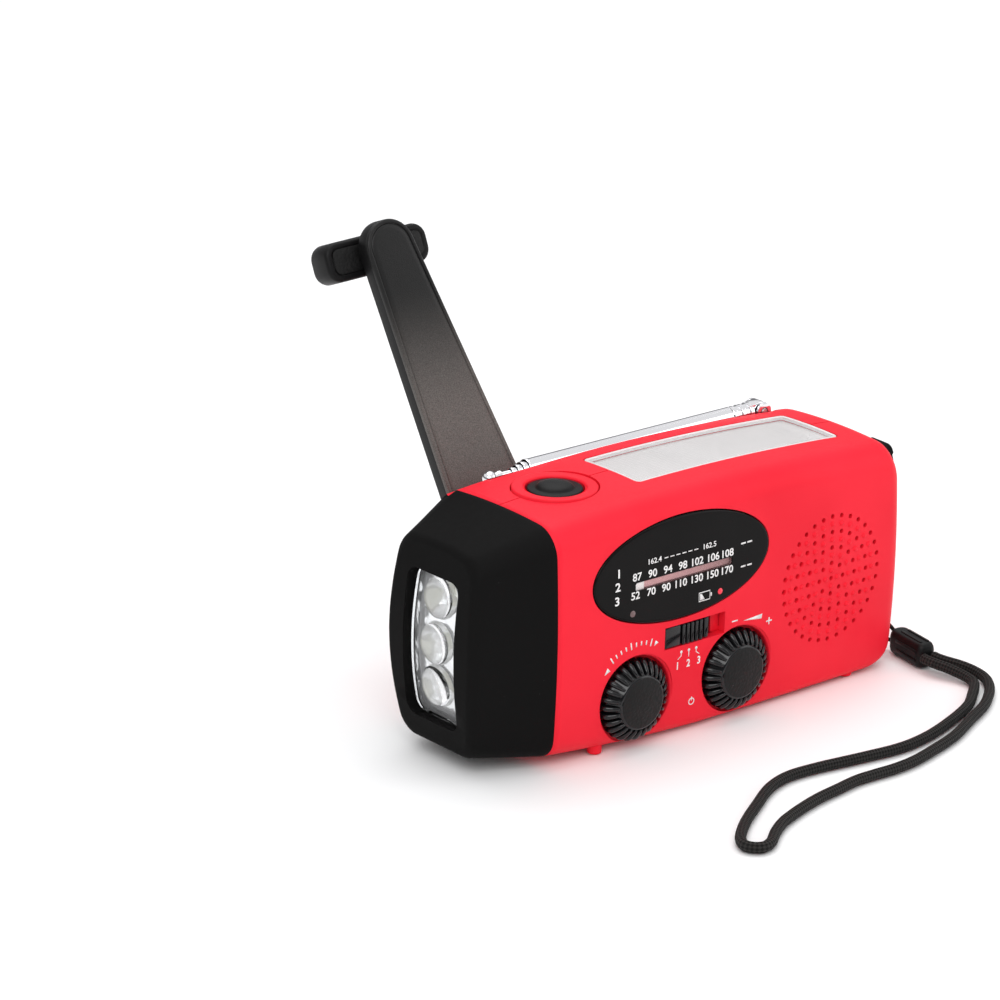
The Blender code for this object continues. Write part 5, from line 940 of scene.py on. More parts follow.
# %% Case screws with cross recesses
SCREW = [(0, 19.3), (1.2, 19.25), (2.0, 18.9), (2.4, 18.3), (2.4, 17.8), (1.1, 17.8), (1.1, 6.6), (0, 6.6)]
for number, (x, z) in enumerate(SCREWS, 1):
    screw = turned(f"case_screw_{number}_look", SCREW, (x, 0, z), (0, 1, 0), 48)
    for half_x, half_z in ((1.3, 0.25), (0.25, 1.3)):
        boolean(screw, block("slot", (x - half_x, 18.4, z - half_z), (x + half_x, 20, z + half_z)))
    placed(screw, "steel", "radio", [f"case_screw_{number}"])

# %% [markdown]
# ## Torch end
# The bezel is one thick rubbery cap, hollow behind the rim of its window. Inside it lie the
# clear lens with three bull's-eyes, the chromed reflector, whose front follows the lens, and
# the three lamps at the bottoms of its dishes.

# %% Bezel
bezel = loft("torch_bezel_look", bezel_stations())
cut(bezel, prism("window", [rounded(-9.2, 9.2, 10.5, 46.7, 3.0)], 'X', -70, -58.5),
    prism("chamber", [rounded(-9.5, 9.5, 10.2, 47.0, 3.3)], 'X', -63.2, -40),
    tip_notch())
outward(softened(bezel, 0.35, 3, 50))
on_skin(bezel, bezel_skin, bezel_tree)
placed(bezel, "black_rubber", "radio", ["torch_bezel"])

# %% Plates on a grid
def lattice(name, columns, rows, point):
    """A closed plate from two layers of a grid. The point function gives layer 0 or 1."""
    verts = [point(i / columns, j / rows, layer) for layer in (0, 1)
             for i in range(columns + 1) for j in range(rows + 1)]
    row, size = rows + 1, (columns + 1) * (rows + 1)
    faces = []
    for i in range(columns):
        for j in range(rows):
            k = i * row + j
            faces.append((k, k + row, k + row + 1, k + 1))
            faces.append((size + k, size + k + 1, size + k + row + 1, size + k + row))
    edge = [i * row for i in range(columns + 1)] + [columns * row + j for j in range(1, row)]
    edge += [i * row + rows for i in range(columns - 1, -1, -1)] + [j for j in range(rows - 1, 0, -1)]
    for k, vert in enumerate(edge):
        after = edge[(k + 1) % len(edge)]
        faces.append((vert, size + vert, size + after, after))
    return shaped(name, verts, faces)


# %% Lens with three bull's-eyes
LAMPS, LENS_MIDDLE = (19.4, 29.8, 40.7), 28.6
LENS, LENS_THICK, MIRROR_BACK = (-8.9, 8.9, 10.8, 46.4), 1.6, -51.8
EYE = [(0, 1.75), (1.5, 1.68), (3.0, 1.42), (4.0, 1.1), (4.5, 0.85), (4.8, 0.5), (4.9, 0.1), (4.9, -0.8),
       (0, -0.8)]


def lens_x(y, z):
    """The lens swells out along with the end of the case."""
    return -62.0 - 2.3 * (1 - ((z - LENS_MIDDLE) / 18) ** 2) - 0.5 * (1 - (y / 9) ** 2)


def behind_window(name, front_gap, back_x, corner_steps):
    """A block whose front follows the lens. Its back lies at back_x, or follows the lens too."""
    def point(i, j, layer):
        y, z = mix(LENS[0], LENS[1], i), mix(LENS[2], LENS[3], j)
        front = lens_x(y, z) + front_gap
        return (back_x or front + LENS_THICK) if layer else front, y, z
    trim = prism("trim", [rounded(*LENS, 2.7, corner_steps)], 'X', -80, -50)
    return boolean(lattice(name, 10, 40, point), trim, 'INTERSECT')


plate = behind_window("torch_lens_look", 0.0, None, 8)
for z in LAMPS:
    towards = (-1, 0, 0.04 * (z - LENS_MIDDLE) / 9)
    boolean(plate, turned("eye", EYE, (lens_x(0, z) + 0.3, 0, z), towards, 56), 'UNION')
softened(plate, 0.1, 2, 45)
placed(plate, "clear_plastic", "radio", ["torch_lens"])

# %% Reflector with three dishes, and the lamps
DISH = [(0, 8), (5.4, 8), (5.0, 0), *((5.0 - 2.3 * (k / 10) ** 1.8, -7.2 * k / 10) for k in range(1, 11)),
        (2.7, -12), (0, -12)]
quarter = [math.pi / 2 * k / 10 for k in range(11)]
DOME = [*((2.4 * math.sin(a), 6 - 2.4 * (1 - math.cos(a))) for a in quarter), (2.4, 0), (0, 0)]
reflector = behind_window("torch_reflector_look", 1.9, MIRROR_BACK, 6)
for z in LAMPS:
    boolean(reflector, turned("dish", DISH, (-59.8, 0, z), (-1, 0, 0), 56))
placed(reflector, "reflector_chrome", "radio", ["torch_reflector"])
for number, z in enumerate(LAMPS, 1):
    lamp = turned(f"torch_led_{number}_look", DOME, (MIRROR_BACK, 0, z), (-1, 0, 0), 40)
    placed(lamp, "led_resin", "radio", [f"torch_led_{number}"])

# %% [markdown]
# ## Dial, slot and printed marks
# The dial window is a glossy black oval with a soft rim. Its scale carries plain numbers, the
# rose slot and the pale pointer. Marks are flat text and outlines given a hair of thickness
# and laid on the face they belong to.

# %% Cushions, and pieces laid on the face
def capped(name, verts, rings):
    """Skin the rings and close both ends."""
    return shaped(name, verts, [*between(rings), tuple(rings[0]), tuple(reversed(rings[-1]))])


def cushion(name, outline_at, levels, axis='Y'):
    """A plate with a rounded rim: one outline per level, each with its own inset."""
    verts, rings = [], []
    for inset, height in levels:
        outline = outline_at(inset)
        rings.append(range(len(verts), len(verts) + len(outline)))
        verts += [(u, height, v) if axis == 'Y' else (u, v, height) for u, v in outline]
    return capped(name, verts, rings)


def draped(piece, lift=0.0):
    """Move a piece drawn about zero on to the case's front, lifted off it by this much."""
    for vert in piece.data.vertices:
        vert.co.y += touch(vert.co.x, z=vert.co.z) - lift
    return piece


# %% Dial window, its slot and the pointer
rim = [(0.0, 1.0), (0.0, 0.0), (0.05, -0.12), (0.16, -0.22), (0.34, -0.29), (0.6, -0.31), (1.6, -0.30),
       (2.6, -0.29)]


def dial_oval(inset):
    return oval(*DIAL, DIAL_HALF[0] - inset, DIAL_HALF[1] - inset, 160)


glass = cushion("dial_window_look", dial_oval, rim)
slot = rounded(-23.3, 6.7, 39.8, 41.8, 0.5, 6)
boolean(glass, prism("slot", [slot], 'Y', -5, 5))
draped(glass)
placed(glass, "dial_black", "radio", ["dial_window"])
strip = prism("slot_window_look", [rounded(-23.15, 6.55, 39.95, 41.65, 0.4, 6)], 'Y', -0.12, 0.3)
draped(strip)
placed(strip, "rose_window", "radio", ["slot_window"])
track = block("pointer_track", (-23.6, -21.2, 39.3), (7.0, -20.9, 42.3))
placed(track, "rose_track", "radio")
pointer = block("dial_pointer_look", (-23.0, -21.9, 39.7), (-20.4, -21.3, 41.9), 0.1)
placed(pointer, "white_print", "pointer", ["dial_pointer"])

# %% Printed numbers, lines and filled marks
MARK_DEPTH = 0.04
ON_GLASS, ON_RED = 0.32, 0.025
marks = []


def lettered(text, x, z, size, lift, wide=1.0, bold=0.0):
    """Plain numbers, centred at (x, z) on the face."""
    curve = bpy.data.curves.new("mark", 'FONT')
    curve.body, curve.size, curve.align_x, curve.align_y = text, size, 'CENTER', 'CENTER'
    curve.extrude, curve.offset, curve.resolution_u = MARK_DEPTH / 2, bold, 4
    drawn = added("mark", curve)
    drawn.matrix_basis = Matrix.Translation((x, 0, z)) @ PLANES['Y'] @ Matrix.Diagonal((wide, 1, 1, 1))
    marks.append(draped(applied(drawn), lift))


def inked(outlines, lift):
    marks.append(draped(prism("mark", outlines, 'Y', -MARK_DEPTH / 2, MARK_DEPTH / 2), lift))


def dash(left, right_end, low, high, lift):
    inked([[(left, low), (right_end, low), (right_end, high), (left, high)]], lift)


def stroke(points, width, lift, closed=False):
    """A printed line of even width through these points."""
    points = [Vector(p) for p in points]
    one_side, other_side = [], []
    count = len(points)
    for k, point in enumerate(points):
        before = points[k - 1] if k or closed else point
        after = points[(k + 1) % count] if k + 1 < count or closed else point
        along = (after - before).normalized()
        out = Vector((-along.y, along.x)) * width / 2
        one_side.append(tuple(point + out))
        other_side.append(tuple(point - out))
    inked([one_side, other_side] if closed else [one_side + other_side[::-1]], lift)


# %% The dial's scale
UPPER = (("87", -22.9), ("90", -18.2), ("94", -13.5), ("98", -8.9), ("102", -4.5), ("106", 0.5),
         ("108", 5.0))
LOWER = (("52", -23.4), ("70", -18.6), ("90", -14.0), ("110", -9.6), ("130", -4.6), ("150", 0.3),
         ("170", 4.9))
for text, x in UPPER:
    lettered(text, x, 43.2 - 0.012 * (x + 23), 2.6, ON_GLASS, wide=1.05, bold=0.04)
for text, x in LOWER:
    lettered(text, x, 38.75, 2.6, ON_GLASS, wide=1.05, bold=0.04)
for text, x in (("162.4", -17.6), ("162.5", -0.6)):
    lettered(text, x, 46.1, 1.8, ON_GLASS, wide=1.1, bold=0.02)
for k in range(6):
    left = -14.6 + k * 1.85
    dash(left, left + 1.2, 45.95, 46.2, ON_GLASS)
for text, x, z in (("1", -28.4, 45.1), ("2", -28.7, 41.9), ("3", -28.9, 38.5)):
    lettered(text, x, z, 2.9, ON_GLASS, wide=1.1, bold=0.06)
for z in (44.3, 38.6):
    for start in (9.4, 11.4):
        dash(start, start + 1.5, z - 0.2, z + 0.2, ON_GLASS)

# %% Battery mark and two small lamps on the dial
stroke([(-3.7, 32.9), (-0.3, 32.9), (-0.3, 35.0), (-3.7, 35.0)], 0.25, ON_GLASS, closed=True)
dash(-0.1, 0.3, 33.5, 34.4, ON_GLASS)
inked([[(-3.4, 33.2), (-1.9, 33.2), (-2.9, 34.7), (-3.4, 34.7)]], ON_GLASS)
for name, x, z, radius, look in (("charge_lamp", 3.0, 34.0, 0.75, "red_lamp"),
                                 ("signal_lamp", -24.1, 34.5, 0.8, "dim_lamp")):
    bead = [(0, 0.32), (radius * 0.6, 0.26), (radius, 0.0), (radius, -0.4), (0, -0.4)]
    bead = turned(name, bead, (x, touch(x, z=z) - 0.3, z), (0, -1, 0), 32)
    placed(bead, look, "radio")

# %% Tick arc, switch places, minus, plus, wedge and on-off mark on the red face
for k in range(9):
    angle = math.radians(124 - 6.3 * k)
    low, high = (13.2, 15.0) if k % 4 == 0 else (13.5, 14.6)
    u, v = math.cos(angle), math.sin(angle)
    stroke([(TUNING_X + r * u, KNOB_Z + r * v) for r in (low, high)], 0.34, ON_RED)
for arrow in ([(-31.9, 20.9), (-30.2, 21.7), (-31.1, 22.6)], [(-15.7, 25.5), (-17.0, 24.9), (-16.6, 26.2)]):
    inked([arrow], ON_RED)
for x, text in ((-9.4, "1"), (-6.0, "2"), (-2.7, "3")):
    lettered(text, x, 17.9, 2.6, ON_RED, wide=0.85, bold=0.06)
    stop = -6.0 + (x + 6.0) * 0.7
    inked([oval(stop, 21.3, 0.38, 0.38, 16)], ON_RED)
    stroke([(stop, 21.1), (stop, 20.3), (x, 19.6)], 0.2, ON_RED)
dash(7.4, 9.2, 25.0, 25.35, ON_RED)
dash(18.6, 20.4, 22.45, 22.8, ON_RED)
dash(19.33, 19.67, 21.7, 23.5, ON_RED)
inked([[(11.0, 24.6), (16.9, 23.8), (17.2, 25.0)]], ON_RED)
stroke(oval(-4.2, 7.7, 0.8, 0.8, 24), 0.25, ON_RED, closed=True)
dash(-4.33, -4.07, 7.9, 8.9, ON_RED)
placed(joined("printed_marks", marks), "white_print", "radio", sharp=180)

# %% [markdown]
# ## Knobs, switch and button
# A knob is a turned core with twenty-eight rounded ribs set round it. The ribs are thick at
# the skirt and thin out towards the flat, finely grained cap.

# %% One rib of a knob
RIBS, RIB_SIDES, KNOB_FRONT = 28, 10, -24.3
RIB_PATH = [(9.15, -19.65, 0.92), (9.3, -20.1, 0.98), (9.35, -20.9, 0.98), (9.15, -21.7, 0.94),
            (8.7, -22.4, 0.86), (8.1, -23.0, 0.76), (7.4, -23.6, 0.62), (6.8, -24.0, 0.42)]


def knob_rib():
    """A rounded rib along (radius, y, thickness)."""
    verts, rings = [], []
    for radius, y, thick in RIB_PATH:
        rings.append(range(len(verts), len(verts) + RIB_SIDES))
        for k in range(RIB_SIDES):
            a = math.tau * k / RIB_SIDES
            out, back_way = thick * math.cos(a), thick * math.sin(a)
            verts.append((radius + 0.85 * out, y - 0.25 * out, 0.82 * back_way))
    return capped("rib", verts, rings)


# %% Fluted knobs
KNOB_CORE = [(0, 17.9), (3.0, 17.9), (3.0, 19.6), (8.8, 19.6), (9.0, 19.75), (9.0, 20.3), (8.9, 20.9),
             (8.6, 21.5), (8.1, 22.1), (7.5, 22.8), (7.0, 23.4), (6.65, 24.0), (6.45, 24.22), (6.1, 24.3),
             (0, 24.3)]
CAP = [(0, 0.05), (6.0, 0.05), (6.15, 0.0), (6.15, -0.2), (0, -0.2)]
PIT = [(0, 0.3), (0.28, 0.3), (0.28, -0.12), (0, -0.12)]


def make_knob(body, x):
    core = turned(f"{body}_knob_look", KNOB_CORE, (0, 0, 0), (0, -1, 0), 112)
    ribs = outward(repeated("ribs", AROUND, knob_rib(), count=RIBS))
    knob = joined(f"{body}_knob_look", [core, ribs])
    knob.data.transform(Matrix.Translation((x, 0, KNOB_Z)))
    placed(knob, "black_gloss", body, [f"{body}_knob"], sharp=50)
    cap = turned(f"{body}_knob_look_cap", CAP, (x, KNOB_FRONT, KNOB_Z), (0, -1, 0), 96)
    if body == "volume":
        boolean(cap, turned("pit", PIT, (x - 3.2, KNOB_FRONT, KNOB_Z - 2.6), (0, -1, 0), 20))
    placed(cap, "grained_black", body)


make_knob("tuning", TUNING_X)
make_knob("volume", VOLUME_X)

# %% Band switch slider: a flat nose, then ribs across it with a notch
slider = block("slider_base", (-13.5, -21.0, 23.1), (0.1, -20.1, 28.2), 0.15)
nose = block("slider_nose", (-13.5, -22.15, 23.1), (-8.6, -20.6, 28.2), 0.35, 4)
rib = block("slider_rib", (-8.3, -22.5, 23.1), (-7.4, -20.6, 28.2), 0.3, 4)
ribs = repeated("slider_ribs", ROW, rib, count=5, step=(1.35, 0, 0))
tail = block("slider_tail", (-1.2, -22.15, 23.1), (0.1, -20.6, 28.2), 0.35, 4)
slider = joined("band_switch_slider_look", [slider, nose, tail, outward(ribs)])
placed(slider, "black_gloss", "band_switch", ["band_switch_slider"])

# %% Torch button in its red ring
top = touch(*BUTTON)
ring_profile = [(10.15, -3.0), (10.15, -0.06), (10.05, 0.06), (9.85, 0.12), (7.9, 0.10), (7.6, -0.02),
                (7.42, -0.22), (7.3, -0.5), (7.15, -0.5), (7.05, -0.25), (6.98, -2.5), (2.3, -2.5),
                (2.3, -3.0), (10.15, -3.0)]
ring = turned("button_ring_look", ring_profile, (*BUTTON, top), (0, 0, 1), 96)
placed(ring, "red_plastic", "radio", ["button_ring"])
dome = [(0, 1.2), (1.4, 1.14), (2.7, 0.95), (3.7, 0.62), (4.35, 0.2), (4.55, -0.12), (4.75, -0.2),
        (6.2, -0.22), (6.45, -0.3), (6.58, -0.5), (6.58, -0.92), (2.0, -0.92), (2.0, -3.55), (0, -3.55)]
button = turned("torch_button_look", dome, (*BUTTON, top), (0, 0, 1), 96)
placed(button, "black_satin", "button", ["torch_button"])

# %% [markdown]
# ## Solar window and port cover
# The window is a shallow clear tray with a bright bevelled rim over a pale cell, whose fine
# vertical lines are in its material. Both follow the slight swell of the top.

# %% Plates and frames that follow the top
def solar_field(inset):
    return SOLAR[0] + inset, SOLAR[1] - inset, SOLAR[2] + inset, SOLAR[3] - inset


def top_plate(name, inset, low, high, columns=48, rows=14):
    """A rectangular plate that follows the top."""
    left, right_end, front_edge, back_edge = solar_field(inset)

    def point(i, j, layer):
        x, y = mix(left, right_end, i), mix(front_edge, back_edge, j)
        return x, y, touch(x, y) + (low if layer else high)
    return lattice(name, columns, rows, point)


def top_frame(name, levels):
    """A rectangular frame on the top. Its levels are (inset, height), once round its profile."""
    verts, rings = [], []
    for inset, height in levels:
        corners = rounded(*solar_field(inset), max(1.2 - inset, 0.15), 5)
        ring = []
        for k, (u, v) in enumerate(corners):
            nu, nv = corners[(k + 1) % len(corners)]
            parts = 32 if abs(nu - u) > 20 else 10 if abs(nv - v) > 8 else 1
            ring += [(mix(u, nu, n / parts), mix(v, nv, n / parts)) for n in range(parts)]
        rings.append(range(len(verts), len(verts) + len(ring)))
        verts += [(u, v, touch(u, v) + height) for u, v in ring]
    return shaped(name, verts, between(rings, closed=True))


# %% Solar window over its cell
window_plate = top_plate("solar_window_look", 0.75, -0.9, -0.16)
placed(window_plate, "solar_glass", "radio", ["solar_window"], sharp=30)
rim = [(0.0, -0.9), (0.0, -0.12), (0.1, -0.02), (0.3, 0.0), (0.72, -0.14), (0.72, -0.9)]
frame_rim = top_frame("solar_rim", rim)
placed(frame_rim, "clear_rim", "radio", sharp=25)
cell_plate = top_plate("solar_cell_look", 1.1, -1.9, -1.2, 24, 8)
placed(cell_plate, "solar_cell", "radio", ["solar_cell"])
border = top_plate("solar_border", 0.1, -2.0, -1.4, 24, 8)
placed(border, "white_print", "radio")

# %% Port cover with its finger tab
def on_end(y, z):
    """Where the strap end's surface lies."""
    hit = case_tree.ray_cast((120, y, z), (-1, 0, 0))[0]
    return hit.x if hit else STRAP_END


def end_plate(name, field, radius, inner, outer, rows):
    """A plate that follows the rounded strap end over a field of (low y, high y, low z, high z)."""
    def point(i, j, layer):
        y, z = mix(field[0], field[1], i), mix(field[2], field[3], j)
        return on_end(y, z) + (inner if layer else outer), y, z
    trim = prism("trim", [rounded(*field, radius, 8)], 'X', 20, 90)
    return boolean(lattice(name, 10, rows, point), trim, 'INTERSECT')


cover = end_plate("cover_plate", (-15.4, -6.1, 24.6, 55.4), 2.0, 0.32, 1.5, 26)
tab = end_plate("cover_tab", (-14.6, -6.9, 52.2, 55.3), 1.2, 0.9, 2.5, 8)
cover = joined("port_cover_look", [softened(cover, 0.3, 3, 50), softened(tab, 0.35, 3, 50)])
placed(cover, "black_rubber", "cover", ["port_cover"])

# %% [markdown]
# ## Telescopic antenna
# Five chromed tubes lie one inside the next, each with a rolled lip at its end. The last one
# carries a small ball on a conical neck. At the other end a ringed collar and a flat knuckle
# turn on a pin between two ears.

# %% Four open tubes
RADII = (2.4, 2.0, 1.6, 1.2, 0.8)
ROD = (0, *ANTENNA_AXIS)
for number, radius in enumerate(RADII[:4], 1):
    left, near, bore = -22.1 - 1.5 * number, 41.5 - 0.6 * number, radius - 0.2
    lip = [(bore, near), (radius, near), (radius, left + 0.7), (radius + 0.05, left + 0.35),
           (radius + 0.02, left + 0.1), (radius - 0.12, left - 0.05), (bore + 0.03, left), (bore, left + 0.1),
           (bore, near)]
    tube = turned(f"antenna_section_{number}_look", lip, ROD, (1, 0, 0), 56)
    carrier = "antenna_base" if number == 1 else f"antenna_{number}"
    placed(tube, "chrome", carrier, [f"antenna_section_{number}"])

# %% Innermost rod with its ball
BALL, BALL_X = 1.8, -34.5
steps = [math.pi * k / 16 for k in range(13, -1, -1)]
ball = [(BALL * math.sin(a), BALL_X - BALL * math.cos(a)) for a in steps]
neck = [(0, 38.5), (0.8, 38.5), (0.8, -31.2), (1.3, -31.4), (1.25, -32.0), (1.05, -32.6)]
tip = turned("antenna_section_5_look", neck + ball, ROD, (1, 0, 0), 56)
placed(tip, "chrome", "antenna_5", ["antenna_section_5"])

# %% Knuckle with its ringed collar
PIVOT = (50.7, ANTENNA_AXIS[1])
COLLAR_START, RING_PITCH = 41.2, 1.34
rings = []
for k in range(5):
    a, b = COLLAR_START + k * RING_PITCH, COLLAR_START + (k + 1) * RING_PITCH
    r = 2.2 if k % 2 else 2.4
    rings += [(r - 0.12, a + 0.02), (r, a + 0.16), (r, b - 0.16), (r - 0.12, b - 0.02)]
collar = turned("collar", [(0, COLLAR_START), *rings, (0, 47.9)][::-1], ROD, (1, 0, 0), 56)
tongue = prism("tongue", [[(46.5, 56.8), *arc(*PIVOT, 2.35, -90, 90, 20), (46.5, 60.6)]], 'Y', 15.9, 19.1)
boolean(tongue, drill("pin_hole", *PIVOT, 1.1, 10, 25, 32))
knuckle = joined("antenna_knuckle_look", [collar, softened(tongue, 0.2, 3, 50)])
placed(knuckle, "chrome", "antenna_base", ["antenna_knuckle"])

# %% Bracket with two ears, and the pin
parts = [block("bracket_base", (46.55, 14.95, 53.95), (54.95, 20.05, 55.6), 0.2)]
for y in (14.9, 19.4):
    ear = prism("ear", [[(48.5, 55.4), (52.9, 55.4), *arc(*PIVOT, 2.2, 0, 180, 20)]], 'Y', y, y + 0.7)
    boolean(ear, drill("pin_hole", *PIVOT, 1.1, 10, 25, 32))
    parts.append(softened(ear, 0.12, 2, 50))
bracket = joined("antenna_bracket_look", parts)
placed(bracket, "chrome", "radio", ["antenna_bracket"])
pin = [(0, 20.3), (0.75, 20.25), (0.9, 20.1), (0.9, 14.9), (0.75, 14.75), (0, 14.7)]
pin = turned("antenna_pin_look", pin, (PIVOT[0], 0, PIVOT[1]), (0, 1, 0), 32)
placed(pin, "steel", "radio", ["antenna_pin"])

# %% [markdown]
# ## Crank
# The arm is drawn in its own axes: x along the fold pin, y along the arm, z towards its
# cover. The cover is one black plate with a rounded lip and a shallow groove inside it, and a
# reflection painted on its lower half. The grip is a soft cornered bar with a pebbled panel
# let into each side, and it spins on its pin.

# %% Arm axes
LEAN, TILT, GRIP_TURN = math.radians(11), math.radians(22), math.radians(-8.5)
ARM_LENGTH, ROOT_HALF, TIP_HALF, GRIP_PLACE = 80.2, 11.3, 6.6, 73
PIN_HOLE = 1.3
lean = Vector((-math.sin(LEAN), 0, math.cos(LEAN)))
along_pin = Vector((math.cos(LEAN), 0, math.sin(LEAN)))
hinge = Vector((HUB[0], 22.4, HUB[1])) + lean * 10.3
print("hinge of the arm at", [round(v, 1) for v in hinge], "mm")


def crank_axes(tilt):
    along = lean * math.cos(tilt) + Vector((0, 1, 0)) * math.sin(tilt)
    turn = Matrix((along_pin, along, along_pin.cross(along))).transposed().to_4x4()
    return Matrix.Translation(hinge) @ turn


ARM, HUB_AXES = crank_axes(TILT), crank_axes(0)


def plan(start, inset):
    """The arm's outline: straight tapering sides and a round tip."""
    tip = ARM_LENGTH - TIP_HALF
    half_width = mix(ROOT_HALF, TIP_HALF, start / tip) - inset
    return [(-half_width, start), (half_width, start), *arc(0, tip, TIP_HALF - inset, 0, 180, 32)]


def pin_hole():
    return rod("pin_hole", PIN_HOLE, -12, 12, (0, 0, 0), (1, 0, 0), 32)


# %% Arm with its knuckles
fork = [(-ROOT_HALF, -1.0), (-5.2, -1.0), (-5.2, 3.2), (5.2, 3.2), (5.2, -1.0), (ROOT_HALF, -1.0)]
arm = prism("crank_arm_look", [fork + plan(0, 0)[2:]], 'Z', -4.4, -1.2)
softened(arm, 0.55, 4, 50)
KNUCKLE = [(0, 9.4), (2.1, 9.4), (2.4, 9.1), (2.4, 5.5), (2.1, 5.2), (0, 5.2)]
for side in (-1, 1):
    boolean(arm, turned("knuckle", KNUCKLE, (0, 0, 0), (side, 0, 0), 40), 'UNION')
cut(arm, prism("cover_groove", [plan(3.9, 0.95)], 'Z', -1.75, 2),
    pin_hole(),
    rod("grip_hole", 1.8, -6, 5, (0, GRIP_PLACE, 0), (0, 0, 1), 32))
placed(arm, "black_satin", "arm", ["crank_arm"], axes=ARM)

# %% Cover plate with its lip and groove
COVER_START = 3.2
levels = [(0.0, -1.15), (0.0, -0.45), (0.1, -0.2), (0.28, -0.05), (0.5, 0.0), (0.75, 0.0), (0.95, -0.08),
          (1.05, -0.3), (1.15, -0.34), (1.3, -0.16), (1.5, -0.08), (2.5, -0.06)]
arm_cover = cushion("arm_cover_look", lambda inset: plan(COVER_START + inset, inset), levels, 'Z')
placed(arm_cover, "worn_black", "arm", ["arm_cover"], axes=ARM)

# %% Grip bar and its pin
turned_grip = ARM @ Matrix.Translation((0, GRIP_PLACE, -0.9)) @ Matrix.Rotation(GRIP_TURN, 4, 'Z')


def bar(inset):
    return rounded(-14.5 + inset, 14.5 - inset, -4.8 + inset, 4.8 - inset, max(3.5 - inset * 0.8, 0.5), 10)


levels = [(1.1, -13.25), (0.75, -13.22), (0.4, -13.05), (0.12, -12.7), (0.0, -12.2), (0.0, -6.7),
          (0.12, -6.2), (0.4, -5.85), (0.75, -5.68), (1.1, -5.65), (1.45, -5.66), (1.6, -5.8),
          (1.75, -5.84), (2.0, -5.72), (2.5, -5.70)]
grip = cushion("crank_grip_look", bar, levels, 'Z')
placed(grip, "black_satin", "grip", ["crank_grip"], axes=turned_grip)
for name, low, high in (("grip_panel_front", -5.75, -5.58), ("grip_panel_back", -13.32, -13.15)):
    panel = prism(name, [rounded(-12.6, 12.6, -2.95, 2.95, 1.5, 8)], 'Z', low, high)
    placed(softened(panel, 0.07, 2, 50), "grained_black", "grip", axes=turned_grip)
grip_pin = [(0, -1.9), (1.3, -1.9), (1.5, -2.1), (1.5, -12.2), (0, -12.2)]
grip_pin = turned("grip_pin_look", grip_pin, (0, GRIP_PLACE, 0), (0, 0, 1), 32)
placed(grip_pin, "steel", "arm", ["grip_pin"], axes=ARM)

# %% Hub disc, its lug and the fold pin
disc = [(0, 17.4), (14.6, 17.4), (15.2, 17.25), (15.5, 16.9), (15.5, 14.6), (15.3, 14.4), (2.5, 14.4),
        (2.5, 7.0), (0, 7.0)]
hub = turned("crank_hub_look", disc, (HUB[0], 0, HUB[1]), (0, 1, 0), 96)
lug = block("lug", (-4.8, -2.4, 0), (4.8, 2.4, 6.0), 0.2)
barrel = [(0, 4.8), (2.2, 4.8), (2.4, 4.6), (2.4, -4.6), (2.2, -4.8), (0, -4.8)]
boolean(lug, turned("barrel", barrel, (0, 0, 0), (1, 0, 0), 40), 'UNION')
boolean(lug, pin_hole())
lug.data.transform(HUB_AXES)
boolean(hub, lug, 'UNION')
placed(hub, "black_satin", "crank", ["crank_hub"])
fold_pin = [(0, 9.4), (0.8, 9.4), (1.0, 9.2), (1.0, -9.2), (0.8, -9.4), (0, -9.4)]
fold_pin = turned("fold_pin_look", fold_pin, (0, 0, 0), (1, 0, 0), 32)
placed(fold_pin, "steel", "crank", ["fold_pin"], axes=HUB_AXES)

# %% [markdown]
# ## Wrist strap
# The strap is a braided cord: a tube whose surface carries two crossing families of yarns in
# its relief. It leaves the lock, lies across the table in a long flat loop and comes back. A
# thin tether joins the lock to the lug on the case.

# %% Braid finish: yarns cross along and around the cord
YARNS_ALONG, YARNS_AROUND = 3900, 5
braid = Finish("black_braid", (0.014, 0.014, 0.015), Roughness=0.8, Specular_IOR_Level=0.2, Sheen_Weight=0.03)
run, around, _ = braid.parts(braid.place("UV"))
forward, sideways = run * YARNS_ALONG, around * math.tau * YARNS_AROUND
weave = ((forward + sideways).sine() * (forward - sideways).sine()).smooth(-0.7, 0.7)
fibres = braid.noise(9000, 2)
# The colour is darker in the gaps of the weave, which is painted shade between the yarns. The fibres add the
# yarn's own uneven tone.
braid.colour(weave * 0.8 + 0.2 * fibres, (0.001, 0.001, 0.001), (0.030, 0.028, 0.026))
braid.set("Roughness", 0.74 + 0.14 * fibres)
braid.relief(weave + 0.25 * fibres, 0.00034, 1.0)


# %% A smooth curve through a route
def smooth_route(route, step):
    """Evenly spaced points on a smooth curve through the route's points."""
    fine = []
    padded = [route[0], *route, route[-1]]
    for before, start, end, after in zip(padded, padded[1:], padded[2:], padded[3:]):
        before, start, end, after = (Vector(p) for p in (before, start, end, after))
        for k in range(24):
            t = k / 24
            square = (2 * before - 5 * start + 4 * end - after) * t ** 2
            cube = (3 * start - before - 3 * end + after) * t ** 3
            fine.append(0.5 * (2 * start + (end - before) * t + square + cube))
    fine.append(Vector(route[-1]))
    lengths = [0.0]
    for a, b in zip(fine, fine[1:]):
        lengths.append(lengths[-1] + (b - a).length)
    count = max(round(lengths[-1] / step), 2)
    points, k = [], 0
    for n in range(count + 1):
        want = lengths[-1] * n / count
        while k < len(lengths) - 2 and lengths[k + 1] < want:
            k += 1
        span = lengths[k + 1] - lengths[k]
        points.append(fine[k].lerp(fine[k + 1], (want - lengths[k]) / span if span else 0))
    return points, lengths[-1]


